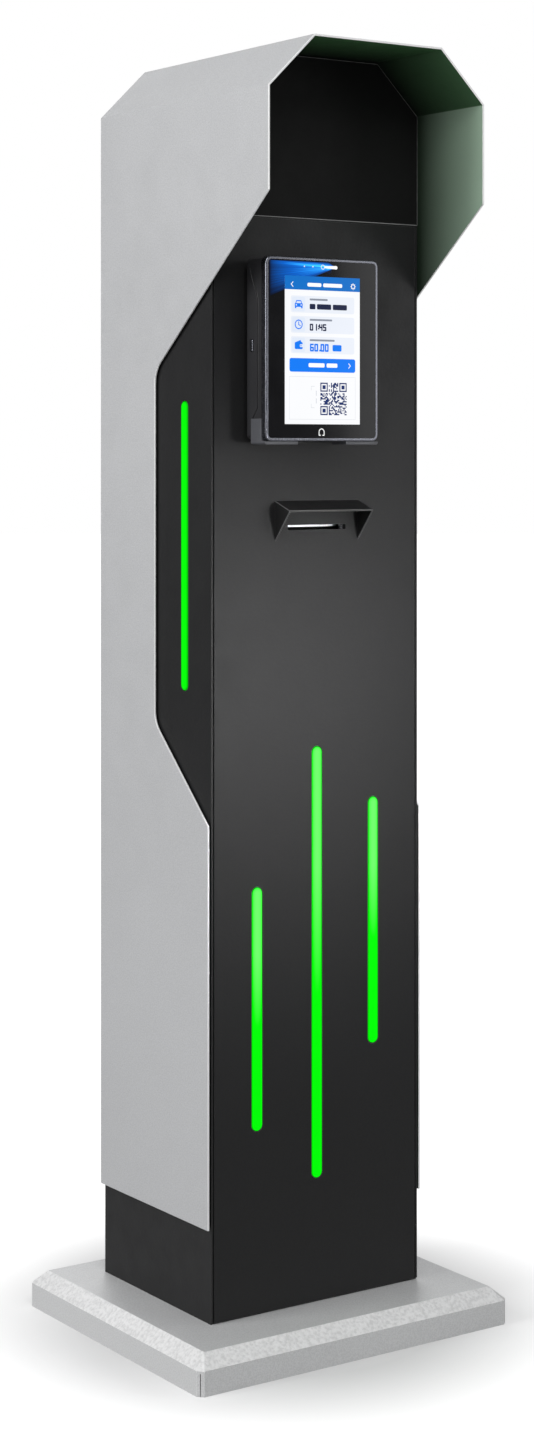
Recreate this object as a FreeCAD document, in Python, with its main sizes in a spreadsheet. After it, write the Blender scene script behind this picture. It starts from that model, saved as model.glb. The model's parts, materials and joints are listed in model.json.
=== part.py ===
import FreeCAD, Part
import math
import os
import Sketcher

# Parking pay station: a black sheet column on a bevelled plinth, wrapped by a silver shell that
# grows into an octagonal weather hood. Millimetres. +Z is up, the front faces -Y, and the origin
# is the centre of the plinth's underside.

SIZES = {
    # plinth
    "plinth_width": 445, "plinth_depth": 388, "plinth_height": 44, "plinth_skin": 3,
    "bevel_rise": 15, "bevel_inset": 17, "corner_facet": 6.5, "crown_facet": 0.4,
    "plate_thickness": 8, "plate_play": 0.5, "post_radius": 16,
    "anchor_span": 220, "anchor_reach": 150, "anchor_radius": 7,
    "foot_bolt_span": 250, "foot_bolt_reach": 60, "foot_bolt_radius": 4, "bolt_play": 0.4,
    "cable_hole_radius": 25, "cable_hole_back": 60, "gland_radius": 14, "gland_bore": 8, "gland_rise": 16,
    # column
    "front_overhang": 87, "column_width": 300, "column_depth": 240, "column_sheet": 2,
    "column_shoulder": 1458, "front_lip": 14, "rear_lip": 18, "rebate_depth": 15, "sill_height": 28,
    "seam_height": 1332, "seam_gap": 1.5, "panel_groove": 2, "foot_gap": 1.5,
    # shell and hood
    "overall_height": 1529, "shell_sheet": 2.5, "shell_gap": 2.5, "shell_foot": 153.5,
    "shell_back_lap": 2.5,
    "hood_reach": 124, "hood_chamfer_width": 63.5, "hood_chamfer_rise": 62, "hood_lip_height": 1349,
    "cutout_lead": 0.2, "cutout_foot": 622, "cutout_low_corner": 733, "cutout_setback": 117,
    "cutout_high_corner": 1152, "cutout_soft": 32, "panel_to_shell": 1.5,
    "shell_stud_radius": 2.5, "shell_stud_play": 0.3, "shell_spacer_radius": 9, "shell_stud_length": 14,
    # lights
    "light_width": 14, "light_gap": 1, "light_dome": 0.9, "light_flange": 4, "flange_thickness": 2,
    "left_light_x": -86, "left_light_low": 260, "left_light_high": 545,
    "middle_light_x": 0, "middle_light_low": 192, "middle_light_high": 705,
    "right_light_x": 83, "right_light_low": 342, "right_light_high": 639,
    "side_light_back": 58, "side_light_low": 775, "side_light_high": 1115,
    "channel_depth": 12, "channel_sheet": 1.5, "board_width": 10, "board_thickness": 1.6,
    "chip_width": 5, "chip_height": 1.2, "chip_pitch": 16,
    # receipt hood and slot
    "receipt_width": 122, "receipt_top": 998, "receipt_drop": 11, "receipt_reach": 30, "receipt_low": 950,
    "receipt_sheet": 2, "slot_width": 84, "slot_opening": 6, "slot_height": 966, "chute_lip": 5,
    "chute_depth": 4,
    # payment terminal
    "terminal_x": -28, "terminal_low": 1068, "terminal_width": 161, "terminal_height": 214,
    "terminal_depth": 51, "terminal_corner": 8, "rim_width": 3.5, "rim_depth": 9, "glass_thickness": 2.5,
    "glass_play": 0.2, "cradle_depth": 9, "cradle_inset": 12, "housing_inset": 2, "housing_wall": 2.5,
    "housing_corner": 6, "display_width": 112, "display_height": 178, "display_thickness": 4,
    "display_rise": 18, "groove_width": 3, "groove_depth": 1.6, "bumper_drop": 4, "bumper_length": 46,
    "bumper_depth": 30, "bumper_wall": 3, "lens_radius": 4, "lens_offset": 9, "lens_drop": 11,
    "board_inset": 14, "button_length": 14, "button_width": 6, "button_stand": 1.4,
    "button_play": 0.15, "cable_port_radius": 18, "cradle_screw_radius": 2, "cradle_screw_inset": 14,
    # receipt printer
    "shelf_width": 150, "shelf_depth": 145, "shelf_height": 898, "shelf_sheet": 2, "shelf_apron": 28,
    "chassis_width": 112, "chassis_sheet": 2, "chassis_front": -98, "chassis_depth": 140,
    "roll_headroom": 9, "platen_y": -80, "platen_radius": 7, "platen_width": 86, "platen_shaft_radius": 3,
    "bearing_play": 0.05, "paper_gap": 0.3, "gear_teeth": 30, "pinion_teeth": 12, "gear_module": 1,
    "gear_face": 5, "gear_stand": 3, "gear_backlash": 0.3, "motor_radius": 12, "motor_length": 28,
    "motor_shaft_radius": 1.5, "roll_radius": 38, "roll_width": 80, "roll_y": -8, "roll_clearance": 5,
    "core_radius": 9, "spindle_radius": 4, "head_height": 8, "head_depth": 14,
    "blade_thickness": 2, "blade_height": 16, "blade_play": 0.25, "guide_depth": 6,
    "lid_play": 0.6, "lid_sheet": 2, "lid_pin_radius": 1.5, "lid_relief": 9, "lid_tab": 20,
    # service door, hinges and locks
    "door_hinge_gap": 4.5, "door_free_gap": 1.5, "door_low": 50, "door_high": 1316, "door_skin": 2,
    "door_edge": 13, "seal_width": 12, "seal_play": 0.25, "knuckle_radius": 3.5, "hinge_back": 6.5,
    "pin_radius": 1.5, "pin_play": 0.06, "leaf_thickness": 2, "leaf_width": 24, "hinge_length": 60,
    "knuckle_play": 0.4, "low_hinge": 160, "middle_hinge": 650, "high_hinge": 1140,
    "lock_x": 112, "low_lock": 340, "high_lock": 1020, "lock_radius": 9, "lock_collar": 12,
    "barrel_radius": 6, "barrel_play": 0.06, "cam_length": 30, "cam_width": 11, "cam_thickness": 3,
    "cam_behind": 1.5, "key_slot_width": 1.6, "key_slot_depth": 5,
    # electronics
    "tray_y": -60, "tray_sheet": 2, "tray_low": 226, "tray_high": 740, "tray_edge": 22,
    "tray_slot": 40, "supply_screw": 3,
    "supply_width": 98, "supply_height": 200, "supply_depth": 38, "supply_x": -112, "supply_low": 245,
    "vent_pitch": 9, "vent_width": 3,
    "controller_width": 110, "controller_height": 150, "controller_depth": 30, "controller_x": 14,
    "controller_low": 260, "fin_depth": 6, "fin_width": 3, "fin_pitch": 11,
    "rail_z": 570, "rail_height": 35, "rail_depth": 7.5, "rail_sheet": 1, "rail_length": 240,
    "breaker_x": -90, "breaker_width": 36, "breaker_height": 85, "breaker_nose": 45,
    "breaker_shoulder": 44, "breaker_depth": 60, "toggle_radius": 7, "toggle_width": 14,
    "toggle_lever": 17, "toggle_play": 0.3,
    "block_x": 0, "block_width": 6, "block_height": 48, "block_depth": 42, "block_count": 12,
    "block_gap": 0.2, "block_screw_radius": 1.9,
    # ventilation
    "fan_size": 80, "fan_depth": 25, "fan_z": 1412, "fan_bore": 38.5, "fan_hub": 18, "fan_blade_reach": 37,
    "fan_shaft": 2, "fan_web": 3, "blade_count": 7, "blade_chord": 15, "vent_slot": 4, "vent_span": 66,
    "vent_rows": 7, "vent_step": 9, "fan_corner": 4, "fan_screw": 2.2, "fan_screw_inset": 4.5,
}

doc = FreeCAD.newDocument("PayStation")
sheet = doc.addObject("Spreadsheet::Sheet", "Sizes")
for row, (alias, number) in enumerate(SIZES.items(), start=1):
    sheet.set(f"A{row}", alias)
    sheet.set(f"B{row}", str(number))
    sheet.setAlias(f"B{row}", alias)
doc.recompute()


class Size:
    """A length that knows both its number and the sheet expression that gives it."""

    def __init__(self, text, number):
        self.text = text
        self.number = number

    def joined(self, sign, other, number):
        right = other.text if isinstance(other, Size) else repr(other)
        return Size(f"({self.text} {sign} {right})", number)

    def __add__(self, other):
        return self.joined("+", other, self.number + plain(other))

    def __sub__(self, other):
        return self.joined("-", other, self.number - plain(other))

    def __mul__(self, other):
        return self.joined("*", other, self.number * plain(other))

    def __truediv__(self, other):
        return self.joined("/", other, self.number / plain(other))

    def __neg__(self):
        return Size(f"(0 - {self.text})", -self.number)


def plain(length):
    """The number of a length, whether it is a Size or already a number."""
    return length.number if isinstance(length, Size) else length


def size(alias):
    """The Size of one cell of the sheet."""
    return Size(f"Sizes.{alias}", float(sheet.get(alias)))


ZERO = Size("0", 0.0)
FRONT, SIDE, TOP = "XZ_Plane", "YZ_Plane", "XY_Plane"
pieces = []

# Places that several pieces share.
column_front = size("front_overhang") - size("plinth_depth") / 2
column_back = column_front + size("column_depth")
column_half = size("column_width") / 2
column_middle = (column_front + column_back) / 2
column_inner = column_half - size("column_sheet")
foot = size("plinth_height")
floor_top = foot + size("column_sheet")
panel_back = column_front + size("column_sheet")
panel_half = column_inner - size("panel_groove")
rear_lip_outer = column_back - size("rebate_depth")
rear_lip_inner = rear_lip_outer - size("column_sheet")
rear_opening_half = column_inner - size("rear_lip")
shell_inner = column_half + size("shell_gap")
shell_outer = shell_inner + size("shell_sheet")
shell_back = column_back + size("shell_back_lap")
hood_front = column_front - size("hood_reach")
hood_shoulder = size("overall_height") - size("hood_chamfer_rise")
hood_crown = shell_outer - size("hood_chamfer_width")
terminal_middle = size("terminal_x")
terminal_top = size("terminal_low") + size("terminal_height")
terminal_half = size("terminal_width") / 2
terminal_face = column_front - size("terminal_depth")
rim_back = terminal_face + size("rim_depth")
cradle_front = column_front - size("cradle_depth")
chassis_half = size("chassis_width") / 2
chassis_inner = chassis_half - size("chassis_sheet")
chassis_back = size("chassis_front") + size("chassis_depth")
shelf_top = size("shelf_height") + size("shelf_sheet")
roll_z = shelf_top + size("chassis_sheet") + size("roll_clearance") + size("roll_radius")
chassis_top = roll_z + size("roll_radius") + size("roll_headroom")
platen_z = size("slot_height") - size("platen_radius") - size("paper_gap")
tray_face = size("tray_y")
hinge_x = -(column_inner - size("knuckle_radius"))
hinge_y = column_back + size("hinge_back")
door_left = -(column_inner - size("door_hinge_gap"))
door_right = column_inner - size("door_free_gap")
door_outer = shell_back
door_inner = shell_back - size("door_skin")


# ---------------------------------------------------------------- building blocks

def bind(thing, path, length):
    """Sets a property, with its sheet expression when it has one."""
    if isinstance(length, Size):
        thing.setExpression(path, length.text)
    else:
        thing.setExpression(path, repr(float(length)))


def finish(thing, label):
    """Names a finished piece and keeps it for the checks and the files."""
    thing.Label = label
    pieces.append(thing)
    return thing


def new_body(name):
    return doc.addObject("PartDesign::Body", name)


def origin_plane(body, role):
    return next(plane for plane in body.Origin.OriginFeatures if plane.Role == role)


def new_sketch(body, plane, offset):
    """A sketch on an origin plane of the body, moved along the plane's normal."""
    sketch = body.newObject("Sketcher::SketchObject", "Sketch")
    sketch.AttachmentSupport = (origin_plane(body, plane), [""])
    sketch.MapMode = "FlatFace"
    bind(sketch, "AttachmentOffset.Base.z", offset)
    return sketch


def held(sketch, geometry, point, place):
    """Holds one point of a sketch at a place measured from the sketch's origin."""
    for kind, length in zip(("DistanceX", "DistanceY"), place):
        number = sketch.addConstraint(Sketcher.Constraint(kind, -1, 1, geometry, point, plain(length)))
        bind(sketch, f"Constraints[{number}]", length)


def draw_polygon(sketch, points):
    """Adds one closed outline of straight lines."""
    first = sketch.GeometryCount
    total = len(points)
    places = [FreeCAD.Vector(plain(across), plain(along), 0) for across, along in points]
    for index in range(total):
        sketch.addGeometry(Part.LineSegment(places[index], places[(index + 1) % total]), False)
    for index in range(total):
        following = first + (index + 1) % total
        sketch.addConstraint(Sketcher.Constraint("Coincident", first + index, 2, following, 1))
    for index, place in enumerate(points):
        held(sketch, first + index, 1, place)


def draw_circle(sketch, centre, radius):
    """Adds one circle."""
    middle = FreeCAD.Vector(plain(centre[0]), plain(centre[1]), 0)
    number = sketch.addGeometry(Part.Circle(middle, FreeCAD.Vector(0, 0, 1), plain(radius)), False)
    held(sketch, number, 3, centre)
    constraint = sketch.addConstraint(Sketcher.Constraint("Radius", number, plain(radius)))
    bind(sketch, f"Constraints[{constraint}]", radius)


def draw_stadium(sketch, across, low, high, width):
    """Adds one upright outline with half-round ends."""
    radius = width / 2
    ends = (high - radius, low + radius)
    centres = [FreeCAD.Vector(plain(across), plain(end), 0) for end in ends]
    normal = FreeCAD.Vector(0, 0, 1)
    reach = FreeCAD.Vector(plain(radius), 0, 0)
    top = sketch.addGeometry(Part.ArcOfCircle(Part.Circle(centres[0], normal, plain(radius)), 0,
                                              math.pi), False)
    bottom_circle = Part.Circle(centres[1], normal, plain(radius))
    bottom = sketch.addGeometry(Part.ArcOfCircle(bottom_circle, math.pi, 2 * math.pi), False)
    left = sketch.addGeometry(Part.LineSegment(centres[0] - reach, centres[1] - reach), False)
    right = sketch.addGeometry(Part.LineSegment(centres[1] + reach, centres[0] + reach), False)
    for first, first_end, second, second_end in (
            (top, 2, left, 1), (left, 2, bottom, 1), (bottom, 2, right, 1), (right, 2, top, 1)):
        sketch.addConstraint(Sketcher.Constraint("Tangent", first, first_end, second, second_end))
    sketch.addConstraint(Sketcher.Constraint("Equal", top, bottom))
    held(sketch, top, 3, (across, ends[0]))
    held(sketch, bottom, 3, (across, ends[1]))
    constraint = sketch.addConstraint(Sketcher.Constraint("Radius", top, plain(radius)))
    bind(sketch, f"Constraints[{constraint}]", radius)


def pad(body, plane, low, high, draw, *shape):
    """Adds material between two distances along the plane's row axis."""
    offset = -high if plane == FRONT else low
    sketch = new_sketch(body, plane, offset)
    draw(sketch, *shape)
    feature = body.newObject("PartDesign::Pad", "Pad")
    feature.Profile = sketch
    bind(feature, "Length", high - low)
    return feature


def pocket(body, plane, low, high, draw, *shape):
    """Cuts material away between two distances along the plane's row axis."""
    offset = -low if plane == FRONT else high
    sketch = new_sketch(body, plane, offset)
    draw(sketch, *shape)
    feature = body.newObject("PartDesign::Pocket", "Pocket")
    feature.Profile = sketch
    bind(feature, "Length", high - low)
    return feature


def rectangle(left, right, low, high):
    """The four corners of a rectangle."""
    return [(left, low), (right, low), (right, high), (left, high)]


def faceted(half_width, half_depth, facet):
    """A rectangle about the origin with flat corners."""
    return [(half_width - facet, -half_depth), (half_width, -(half_depth - facet)),
            (half_width, half_depth - facet), (half_width - facet, half_depth),
            (-(half_width - facet), half_depth), (-half_width, half_depth - facet),
            (-half_width, -(half_depth - facet)), (-(half_width - facet), -half_depth)]


def dress_edges(body, kind, radius, wanted):
    """Rounds or chamfers the edges of a body that a test picks."""
    doc.recompute()
    base = body.Tip
    names = [f"Edge{number}" for number, edge in enumerate(base.Shape.Edges, start=1) if wanted(edge)]
    if not names:
        raise RuntimeError(f"{body.Name}: no edge to dress")
    feature = body.newObject(f"PartDesign::{kind}", kind)
    feature.Base = (base, names)
    bind(feature, "Radius" if kind == "Fillet" else "Size", radius)
    return feature


def runs_along(edge, axis):
    """Whether a straight edge runs along one row axis."""
    start, end = edge.Vertexes[0].Point, edge.Vertexes[-1].Point
    span = end - start
    return edge.Curve.TypeId == "Part::GeomLine" and abs(abs(span[axis]) - span.Length) < 1e-6


def box(name, across, along, up):
    """A box between two corners, each side given as its low and high place."""
    solid = doc.addObject("Part::Box", name)
    for side, length, (low, high) in zip("xyz", ("Length", "Width", "Height"), (across, along, up)):
        bind(solid, length, high - low)
        bind(solid, f"Placement.Base.{side}", low)
    return solid


TURNS = {"x": FreeCAD.Rotation(FreeCAD.Vector(0, 1, 0), 90), "y": FreeCAD.Rotation(FreeCAD.Vector(1, 0,
       0), -90),
         "z": FreeCAD.Rotation()}


def rod(name, axis, centre, radius, low, high, kind="Part::Cylinder"):
    """A cylinder or hexagonal prism along one row axis, between two places on it."""
    solid = doc.addObject(kind, name)
    solid.Placement.Rotation = TURNS[axis]
    bind(solid, "Radius" if kind == "Part::Cylinder" else "Circumradius", radius)
    bind(solid, "Height", high - low)
    others = [side for side in "xyz" if side != axis]
    for side, place in zip(others, centre):
        bind(solid, f"Placement.Base.{side}", place)
    bind(solid, f"Placement.Base.{axis}", low)
    return solid


def joined(name, solids):
    """Several touching solids made into one."""
    whole = doc.addObject("Part::MultiFuse", name)
    whole.Shapes = solids
    whole.Refine = True
    return whole


def cut(name, base, tools):
    """A solid with other solids taken out of it."""
    result = doc.addObject("Part::Cut", name)
    result.Base = base
    result.Tool = tools[0] if len(tools) == 1 else joined(name + "_tools", tools)
    return result


def group(name, solids):
    """Separate solids kept together as one named piece."""
    together = doc.addObject("Part::Compound", name)
    together.Links = solids
    return together


def ring(name, axis, centre, outer, inner, low, high):
    """A tube along one row axis."""
    outside = rod(name + "_outside", axis, centre, outer, low, high)
    return cut(name, outside, [rod(name + "_bore", axis, centre, inner, low, high)])


# ---------------------------------------------------------------- plinth

def corners(span, reach):
    """The four places of a rectangular pattern about the column's middle."""
    return [(span / 2 * sign_x, column_middle + reach / 2 * sign_y) for sign_x in (-1,
           1) for sign_y in (-1, 1)]


anchor_places = corners(size("anchor_span"), size("anchor_reach"))
foot_bolt_places = corners(size("foot_bolt_span"), size("foot_bolt_reach"))
cable_place = (ZERO, column_middle + size("cable_hole_back"))


def drill(body, low, high, places, radius):
    """Round holes along Z through a body."""
    for place in places:
        pocket(body, TOP, low, high, draw_circle, place, radius)


def build_plinth_cover():
    body = new_body("PlinthCover")
    half_width = size("plinth_width") / 2
    half_depth = size("plinth_depth") / 2
    bevel_foot = size("plinth_height") - size("bevel_rise")
    inset = size("bevel_inset")
    skin = size("plinth_skin")
    pad(body, TOP, ZERO, bevel_foot, draw_polygon, faceted(half_width, half_depth, size("corner_facet")))
    low_outline = new_sketch(body, TOP, bevel_foot)
    draw_polygon(low_outline, faceted(half_width, half_depth, size("corner_facet")))
    high_outline = new_sketch(body, TOP, foot)
    draw_polygon(high_outline, faceted(half_width - inset, half_depth - inset, size("crown_facet")))
    loft = body.newObject("PartDesign::AdditiveLoft", "Bevel")
    loft.Profile = low_outline
    loft.Sections = [high_outline]
    loft.Ruled = True
    room_x = half_width - skin
    room_y = half_depth - skin
    pocket(body, TOP, ZERO, bevel_foot - skin, draw_polygon, rectangle(-room_x, room_x, -room_y, room_y))
    crown_x = room_x - inset
    crown_y = room_y - inset
    pocket(body, TOP, ZERO, foot - skin, draw_polygon, rectangle(-crown_x, crown_x, -crown_y, crown_y))
    drill(body, ZERO, foot, anchor_places, size("anchor_radius"))
    drill(body, ZERO, foot, foot_bolt_places, size("foot_bolt_radius") + size("bolt_play"))
    drill(body, ZERO, foot, [cable_place], size("cable_hole_radius"))
    finish(body, "plinth_cover")


def build_base_plate():
    body = new_body("BasePlate")
    margin = size("plinth_skin") + size("plate_play")
    half_width = size("plinth_width") / 2 - margin
    half_depth = size("plinth_depth") / 2 - margin
    thickness = size("plate_thickness")
    pad(body, TOP, ZERO, thickness, draw_polygon, rectangle(-half_width, half_width, -half_depth,
                                                            half_depth))
    drill(body, ZERO, thickness, anchor_places, size("anchor_radius"))
    drill(body, ZERO, thickness, [cable_place], size("cable_hole_radius"))
    finish(body, "base_plate")


def build_base_posts():
    posts = [ring(f"Post{number}", "z", place, size("post_radius"), size("anchor_radius"),
                  size("plate_thickness"), foot - size("plinth_skin"))
             for number, place in enumerate(anchor_places)]
    finish(group("Posts", posts), "base_posts")


def build_foot_bolts():
    radius = size("foot_bolt_radius")
    bolts, nuts = [], []
    skin_foot = foot - size("plinth_skin")
    for number, place in enumerate(foot_bolt_places):
        head = rod(f"BoltHead{number}", "z", place, radius * 1.85, floor_top, floor_top + radius * 1.3,
                   "Part::Prism")
        shank = rod(f"BoltShank{number}", "z", place, radius, skin_foot - radius * 2.5, floor_top)
        bolts.append(joined(f"FootBolt{number}", [head, shank]))
        outside = rod(f"NutOutside{number}", "z", place, radius * 1.85, skin_foot - radius * 1.6, skin_foot,
                      "Part::Prism")
        thread = rod(f"NutThread{number}", "z", place, radius, skin_foot - radius * 1.6, skin_foot)
        nuts.append(cut(f"FootNut{number}", outside, [thread]))
    finish(group("FootFasteners", bolts + nuts), "foot_fasteners")


def build_cable_gland():
    centre = cable_place
    radius = size("gland_radius")
    bore = size("gland_bore")
    crown = rod("GlandNut", "z", centre, radius * 1.3, floor_top, floor_top + size("gland_rise"),
                "Part::Prism")
    neck = rod("GlandNeck", "z", centre, radius, foot - radius / 2, floor_top)
    collar = rod("GlandCollar", "z", centre, radius * 1.2, foot - radius, foot)
    solid = joined("GlandSolid", [crown, neck, collar])
    hole = rod("GlandBore", "z", centre, bore, foot - radius, floor_top + size("gland_rise"))
    finish(cut("CableGland", solid, [hole]), "cable_gland")


# ---------------------------------------------------------------- column

def build_column_body():
    body = new_body("ColumnBody")
    sheet_metal = size("column_sheet")
    top = size("column_shoulder")
    lip = column_inner - size("front_lip")
    lip_back = panel_back + sheet_metal
    right = [(column_half, column_front), (column_half, column_back), (column_inner, column_back),
             (column_inner, rear_lip_outer), (rear_opening_half, rear_lip_outer),
             (rear_opening_half, rear_lip_inner), (column_inner, rear_lip_inner), (column_inner, lip_back),
             (lip, lip_back), (lip, panel_back), (column_inner, panel_back), (column_inner, column_front)]
    left = [(-across, along) for across, along in reversed(right)]
    pad(body, TOP, foot, floor_top, draw_polygon,
        rectangle(-column_half, column_half, panel_back, column_back))
    pad(body, TOP, floor_top, top, draw_polygon, right)
    pad(body, TOP, floor_top, top, draw_polygon, left)
    pad(body, FRONT, rear_lip_inner, rear_lip_outer, draw_polygon,
        rectangle(-rear_opening_half, rear_opening_half, floor_top, floor_top + size("sill_height")))
    pad(body, FRONT, rear_lip_inner, rear_lip_outer, draw_polygon,
        rectangle(-rear_opening_half, rear_opening_half, size("door_high") - size("sill_height"),
                  size("door_high") + size("sill_height")))
    pad(body, FRONT, panel_back, lip_back, draw_polygon,
        rectangle(-lip, lip, size("seam_height") - size("front_lip"),
                  size("seam_height") + size("front_lip")))
    above = size("seam_height")
    pocket(body, FRONT, column_front, panel_back, draw_polygon, rectangle(-column_half, column_half,
           above, top))
    rear_above = size("door_high") + size("seam_gap")
    pocket(body, FRONT, column_back - sheet_metal, column_back, draw_polygon,
           rectangle(-column_half, column_half, rear_above, top))
    side_middle = column_front + size("side_light_back")
    opening = size("light_width") + size("light_gap") * 2
    pocket(body, SIDE, -column_half, column_half, draw_stadium, side_middle,
           size("side_light_low") - size("light_gap"), size("side_light_high") + size("light_gap"), opening)
    drill(body, foot, floor_top, anchor_places, size("anchor_radius"))
    drill(body, foot, floor_top, foot_bolt_places, size("foot_bolt_radius") + size("bolt_play"))
    drill(body, foot, floor_top, [cable_place], size("gland_radius"))
    for place in shell_stud_places():
        pocket(body, SIDE, -column_half, column_half, draw_circle, place,
               size("shell_stud_radius") + size("shell_stud_play"))
    finish(body, "column_body")


def build_front_panel():
    body = new_body("FrontPanel")
    low = foot + size("foot_gap")
    high = size("seam_height") - size("seam_gap")
    pad(body, FRONT, column_front, panel_back, draw_polygon, rectangle(-panel_half, panel_half, low, high))
    gap = size("light_gap")
    for side in ("left", "middle", "right"):
        pocket(body, FRONT, column_front, panel_back, draw_stadium, size(f"{side}_light_x"),
               size(f"{side}_light_low") - gap, size(f"{side}_light_high") + gap,
               size("light_width") + gap * 2)
    half_slot = size("slot_width") / 2
    half_opening = size("slot_opening") / 2
    pocket(body, FRONT, column_front, panel_back, draw_polygon,
           rectangle(-half_slot, half_slot, size("slot_height") - half_opening,
                     size("slot_height") + half_opening))
    pocket(body, FRONT, column_front, panel_back, draw_circle, terminal_centre(), size("cable_port_radius"))
    for place in cradle_screw_places():
        pocket(body, FRONT, column_front, panel_back, draw_circle, place, size("cradle_screw_radius") + 0.2)
    finish(body, "front_panel")


def hooded_outline(half, crown, shoulder, low, high):
    """An upright panel outline whose upper corners follow the hood."""
    return [(-half, low), (half, low), (half, shoulder), (crown, high), (-crown, high), (-half, shoulder)]


def hood_fit(clearance):
    """Half width, half crown, shoulder and top of what fits inside the hood with a clearance."""
    steep = math.tan(math.radians(22.5))
    inset = size("shell_sheet") + clearance
    return (shell_outer - inset, hood_crown - inset * steep, hood_shoulder - inset * steep,
            size("overall_height") - inset)


def build_upper_panel():
    body = new_body("UpperPanel")
    half, crown, shoulder, high = hood_fit(size("panel_to_shell"))
    pad(body, FRONT, column_front, panel_back, draw_polygon,
        hooded_outline(half, crown, shoulder, size("seam_height"), high))
    finish(body, "upper_panel")


def vent_slots():
    """Low and high edges of the row of ventilation slots."""
    rows = int(SIZES["vent_rows"])
    middle = size("fan_z")
    half = size("vent_slot") / 2
    return [(middle + size("vent_step") * (row - (rows - 1) / 2) - half,
             middle + size("vent_step") * (row - (rows - 1) / 2) + half) for row in range(rows)]


def build_rear_upper_panel():
    body = new_body("RearUpperPanel")
    half, crown, shoulder, high = hood_fit(size("panel_to_shell"))
    panel_front = column_back - size("column_sheet")
    low = size("door_high") + size("seam_gap")
    pad(body, FRONT, panel_front, column_back, draw_polygon, hooded_outline(half, crown, shoulder, low,
           high))
    half_span = size("vent_span") / 2
    for slot_low, slot_high in vent_slots():
        pocket(body, FRONT, panel_front, column_back, draw_polygon,
               rectangle(-half_span, half_span, slot_low, slot_high))
    finish(body, "rear_upper_panel")


# ---------------------------------------------------------------- shell

def shell_stud_places():
    """Where the shell is held to the column, as places along Y and Z."""
    back = column_back - 40
    middle = column_front + size("cutout_setback") + 20
    return [(back, size("shell_foot") + 60), (column_front + 50, size("shell_foot") + 60),
            (back, size("cutout_low_corner")), (middle, size("cutout_high_corner") + 60), (back,
                   hood_shoulder - 90)]


def build_shell():
    body = new_body("Shell")
    half, crown, shoulder, high = hood_fit(ZERO)
    low = size("shell_foot")
    outline = [(shell_outer, low), (shell_outer, hood_shoulder), (hood_crown, size("overall_height")),
               (-hood_crown, size("overall_height")), (-shell_outer, hood_shoulder), (-shell_outer, low),
               (-half, low), (-half, shoulder), (-crown, high), (crown, high), (half, shoulder), (half,
                      low)]
    pad(body, FRONT, hood_front, shell_back, draw_polygon, outline)
    wall_front = column_front + size("cutout_lead")
    setback = column_front + size("cutout_setback")
    beyond = hood_front - 10
    open_side = [(beyond, low - 10), (wall_front, low - 10), (wall_front, size("cutout_foot")),
                 (setback, size("cutout_low_corner")), (setback, size("cutout_high_corner")),
                 (hood_front, size("hood_lip_height")), (beyond, size("hood_lip_height"))]
    pocket(body, SIDE, -(shell_outer + 1), shell_outer + 1, draw_polygon, open_side)
    bends = [(setback, size("cutout_low_corner")),
             (setback, size("cutout_high_corner"))]

    def at_bend(edge):
        middle = edge.CenterOfMass
        near = any(abs(middle.y - plain(y)) < 0.01 and abs(middle.z - plain(z)) < 0.01 for y, z in bends)
        return runs_along(edge, 0) and near

    dress_edges(body, "Fillet", size("cutout_soft"), at_bend)
    finish(body, "shell")


def build_shell_fixings():
    spacers, studs, nuts = [], [], []
    inner_end = shell_inner - size("shell_stud_length")
    radius = size("shell_stud_radius")
    for number, place in enumerate(shell_stud_places()):
        for side, sign in (("L", -1), ("R", 1)):
            name = f"{side}{number}"
            spans = [(column_half, shell_inner), (inner_end, shell_inner), (column_inner - radius * 1.6,
                   column_inner)]
            if sign < 0:
                spans = [(-high, -low) for low, high in spans]
            play = radius + size("shell_stud_play")
            spacers.append(ring("Spacer" + name, "x", place, size("shell_spacer_radius"), play, *spans[0]))
            studs.append(rod("Stud" + name, "x", place, radius, *spans[1]))
            blank = rod("NutBlank" + name, "x", place, radius * 1.85, *spans[2], "Part::Prism")
            nuts.append(cut("Nut" + name, blank, [rod("NutBore" + name, "x", place, radius, *spans[2])]))
    finish(group("ShellFixings", spacers + studs + nuts), "shell_fixings")


# ---------------------------------------------------------------- lights

def light_lens(name, plane, across, low, high, face, inward):
    """A domed diffuser with a flange behind the sheet; inward is +1 or -1 along the plane's row axis."""
    body = new_body(name)
    width = size("light_width")
    dome = face - size("light_dome") * inward
    back = face + size("column_sheet") * inward
    rear = back + size("flange_thickness") * inward
    flange = size("light_flange")
    spans = [(dome, back), (back, rear)] if inward > 0 else [(back, dome), (rear, back)]
    pad(body, plane, *spans[0], draw_stadium, across, low, high, width)
    pad(body, plane, *spans[1], draw_stadium, across, low - flange, high + flange, width + flange * 2)
    axis = 1 if plane == FRONT else 0

    def at_dome(edge):
        return all(abs(vertex.Point[axis] - plain(dome)) < 1e-4 for vertex in edge.Vertexes)

    dress_edges(body, "Fillet", size("light_dome"), at_dome)
    return body


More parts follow.
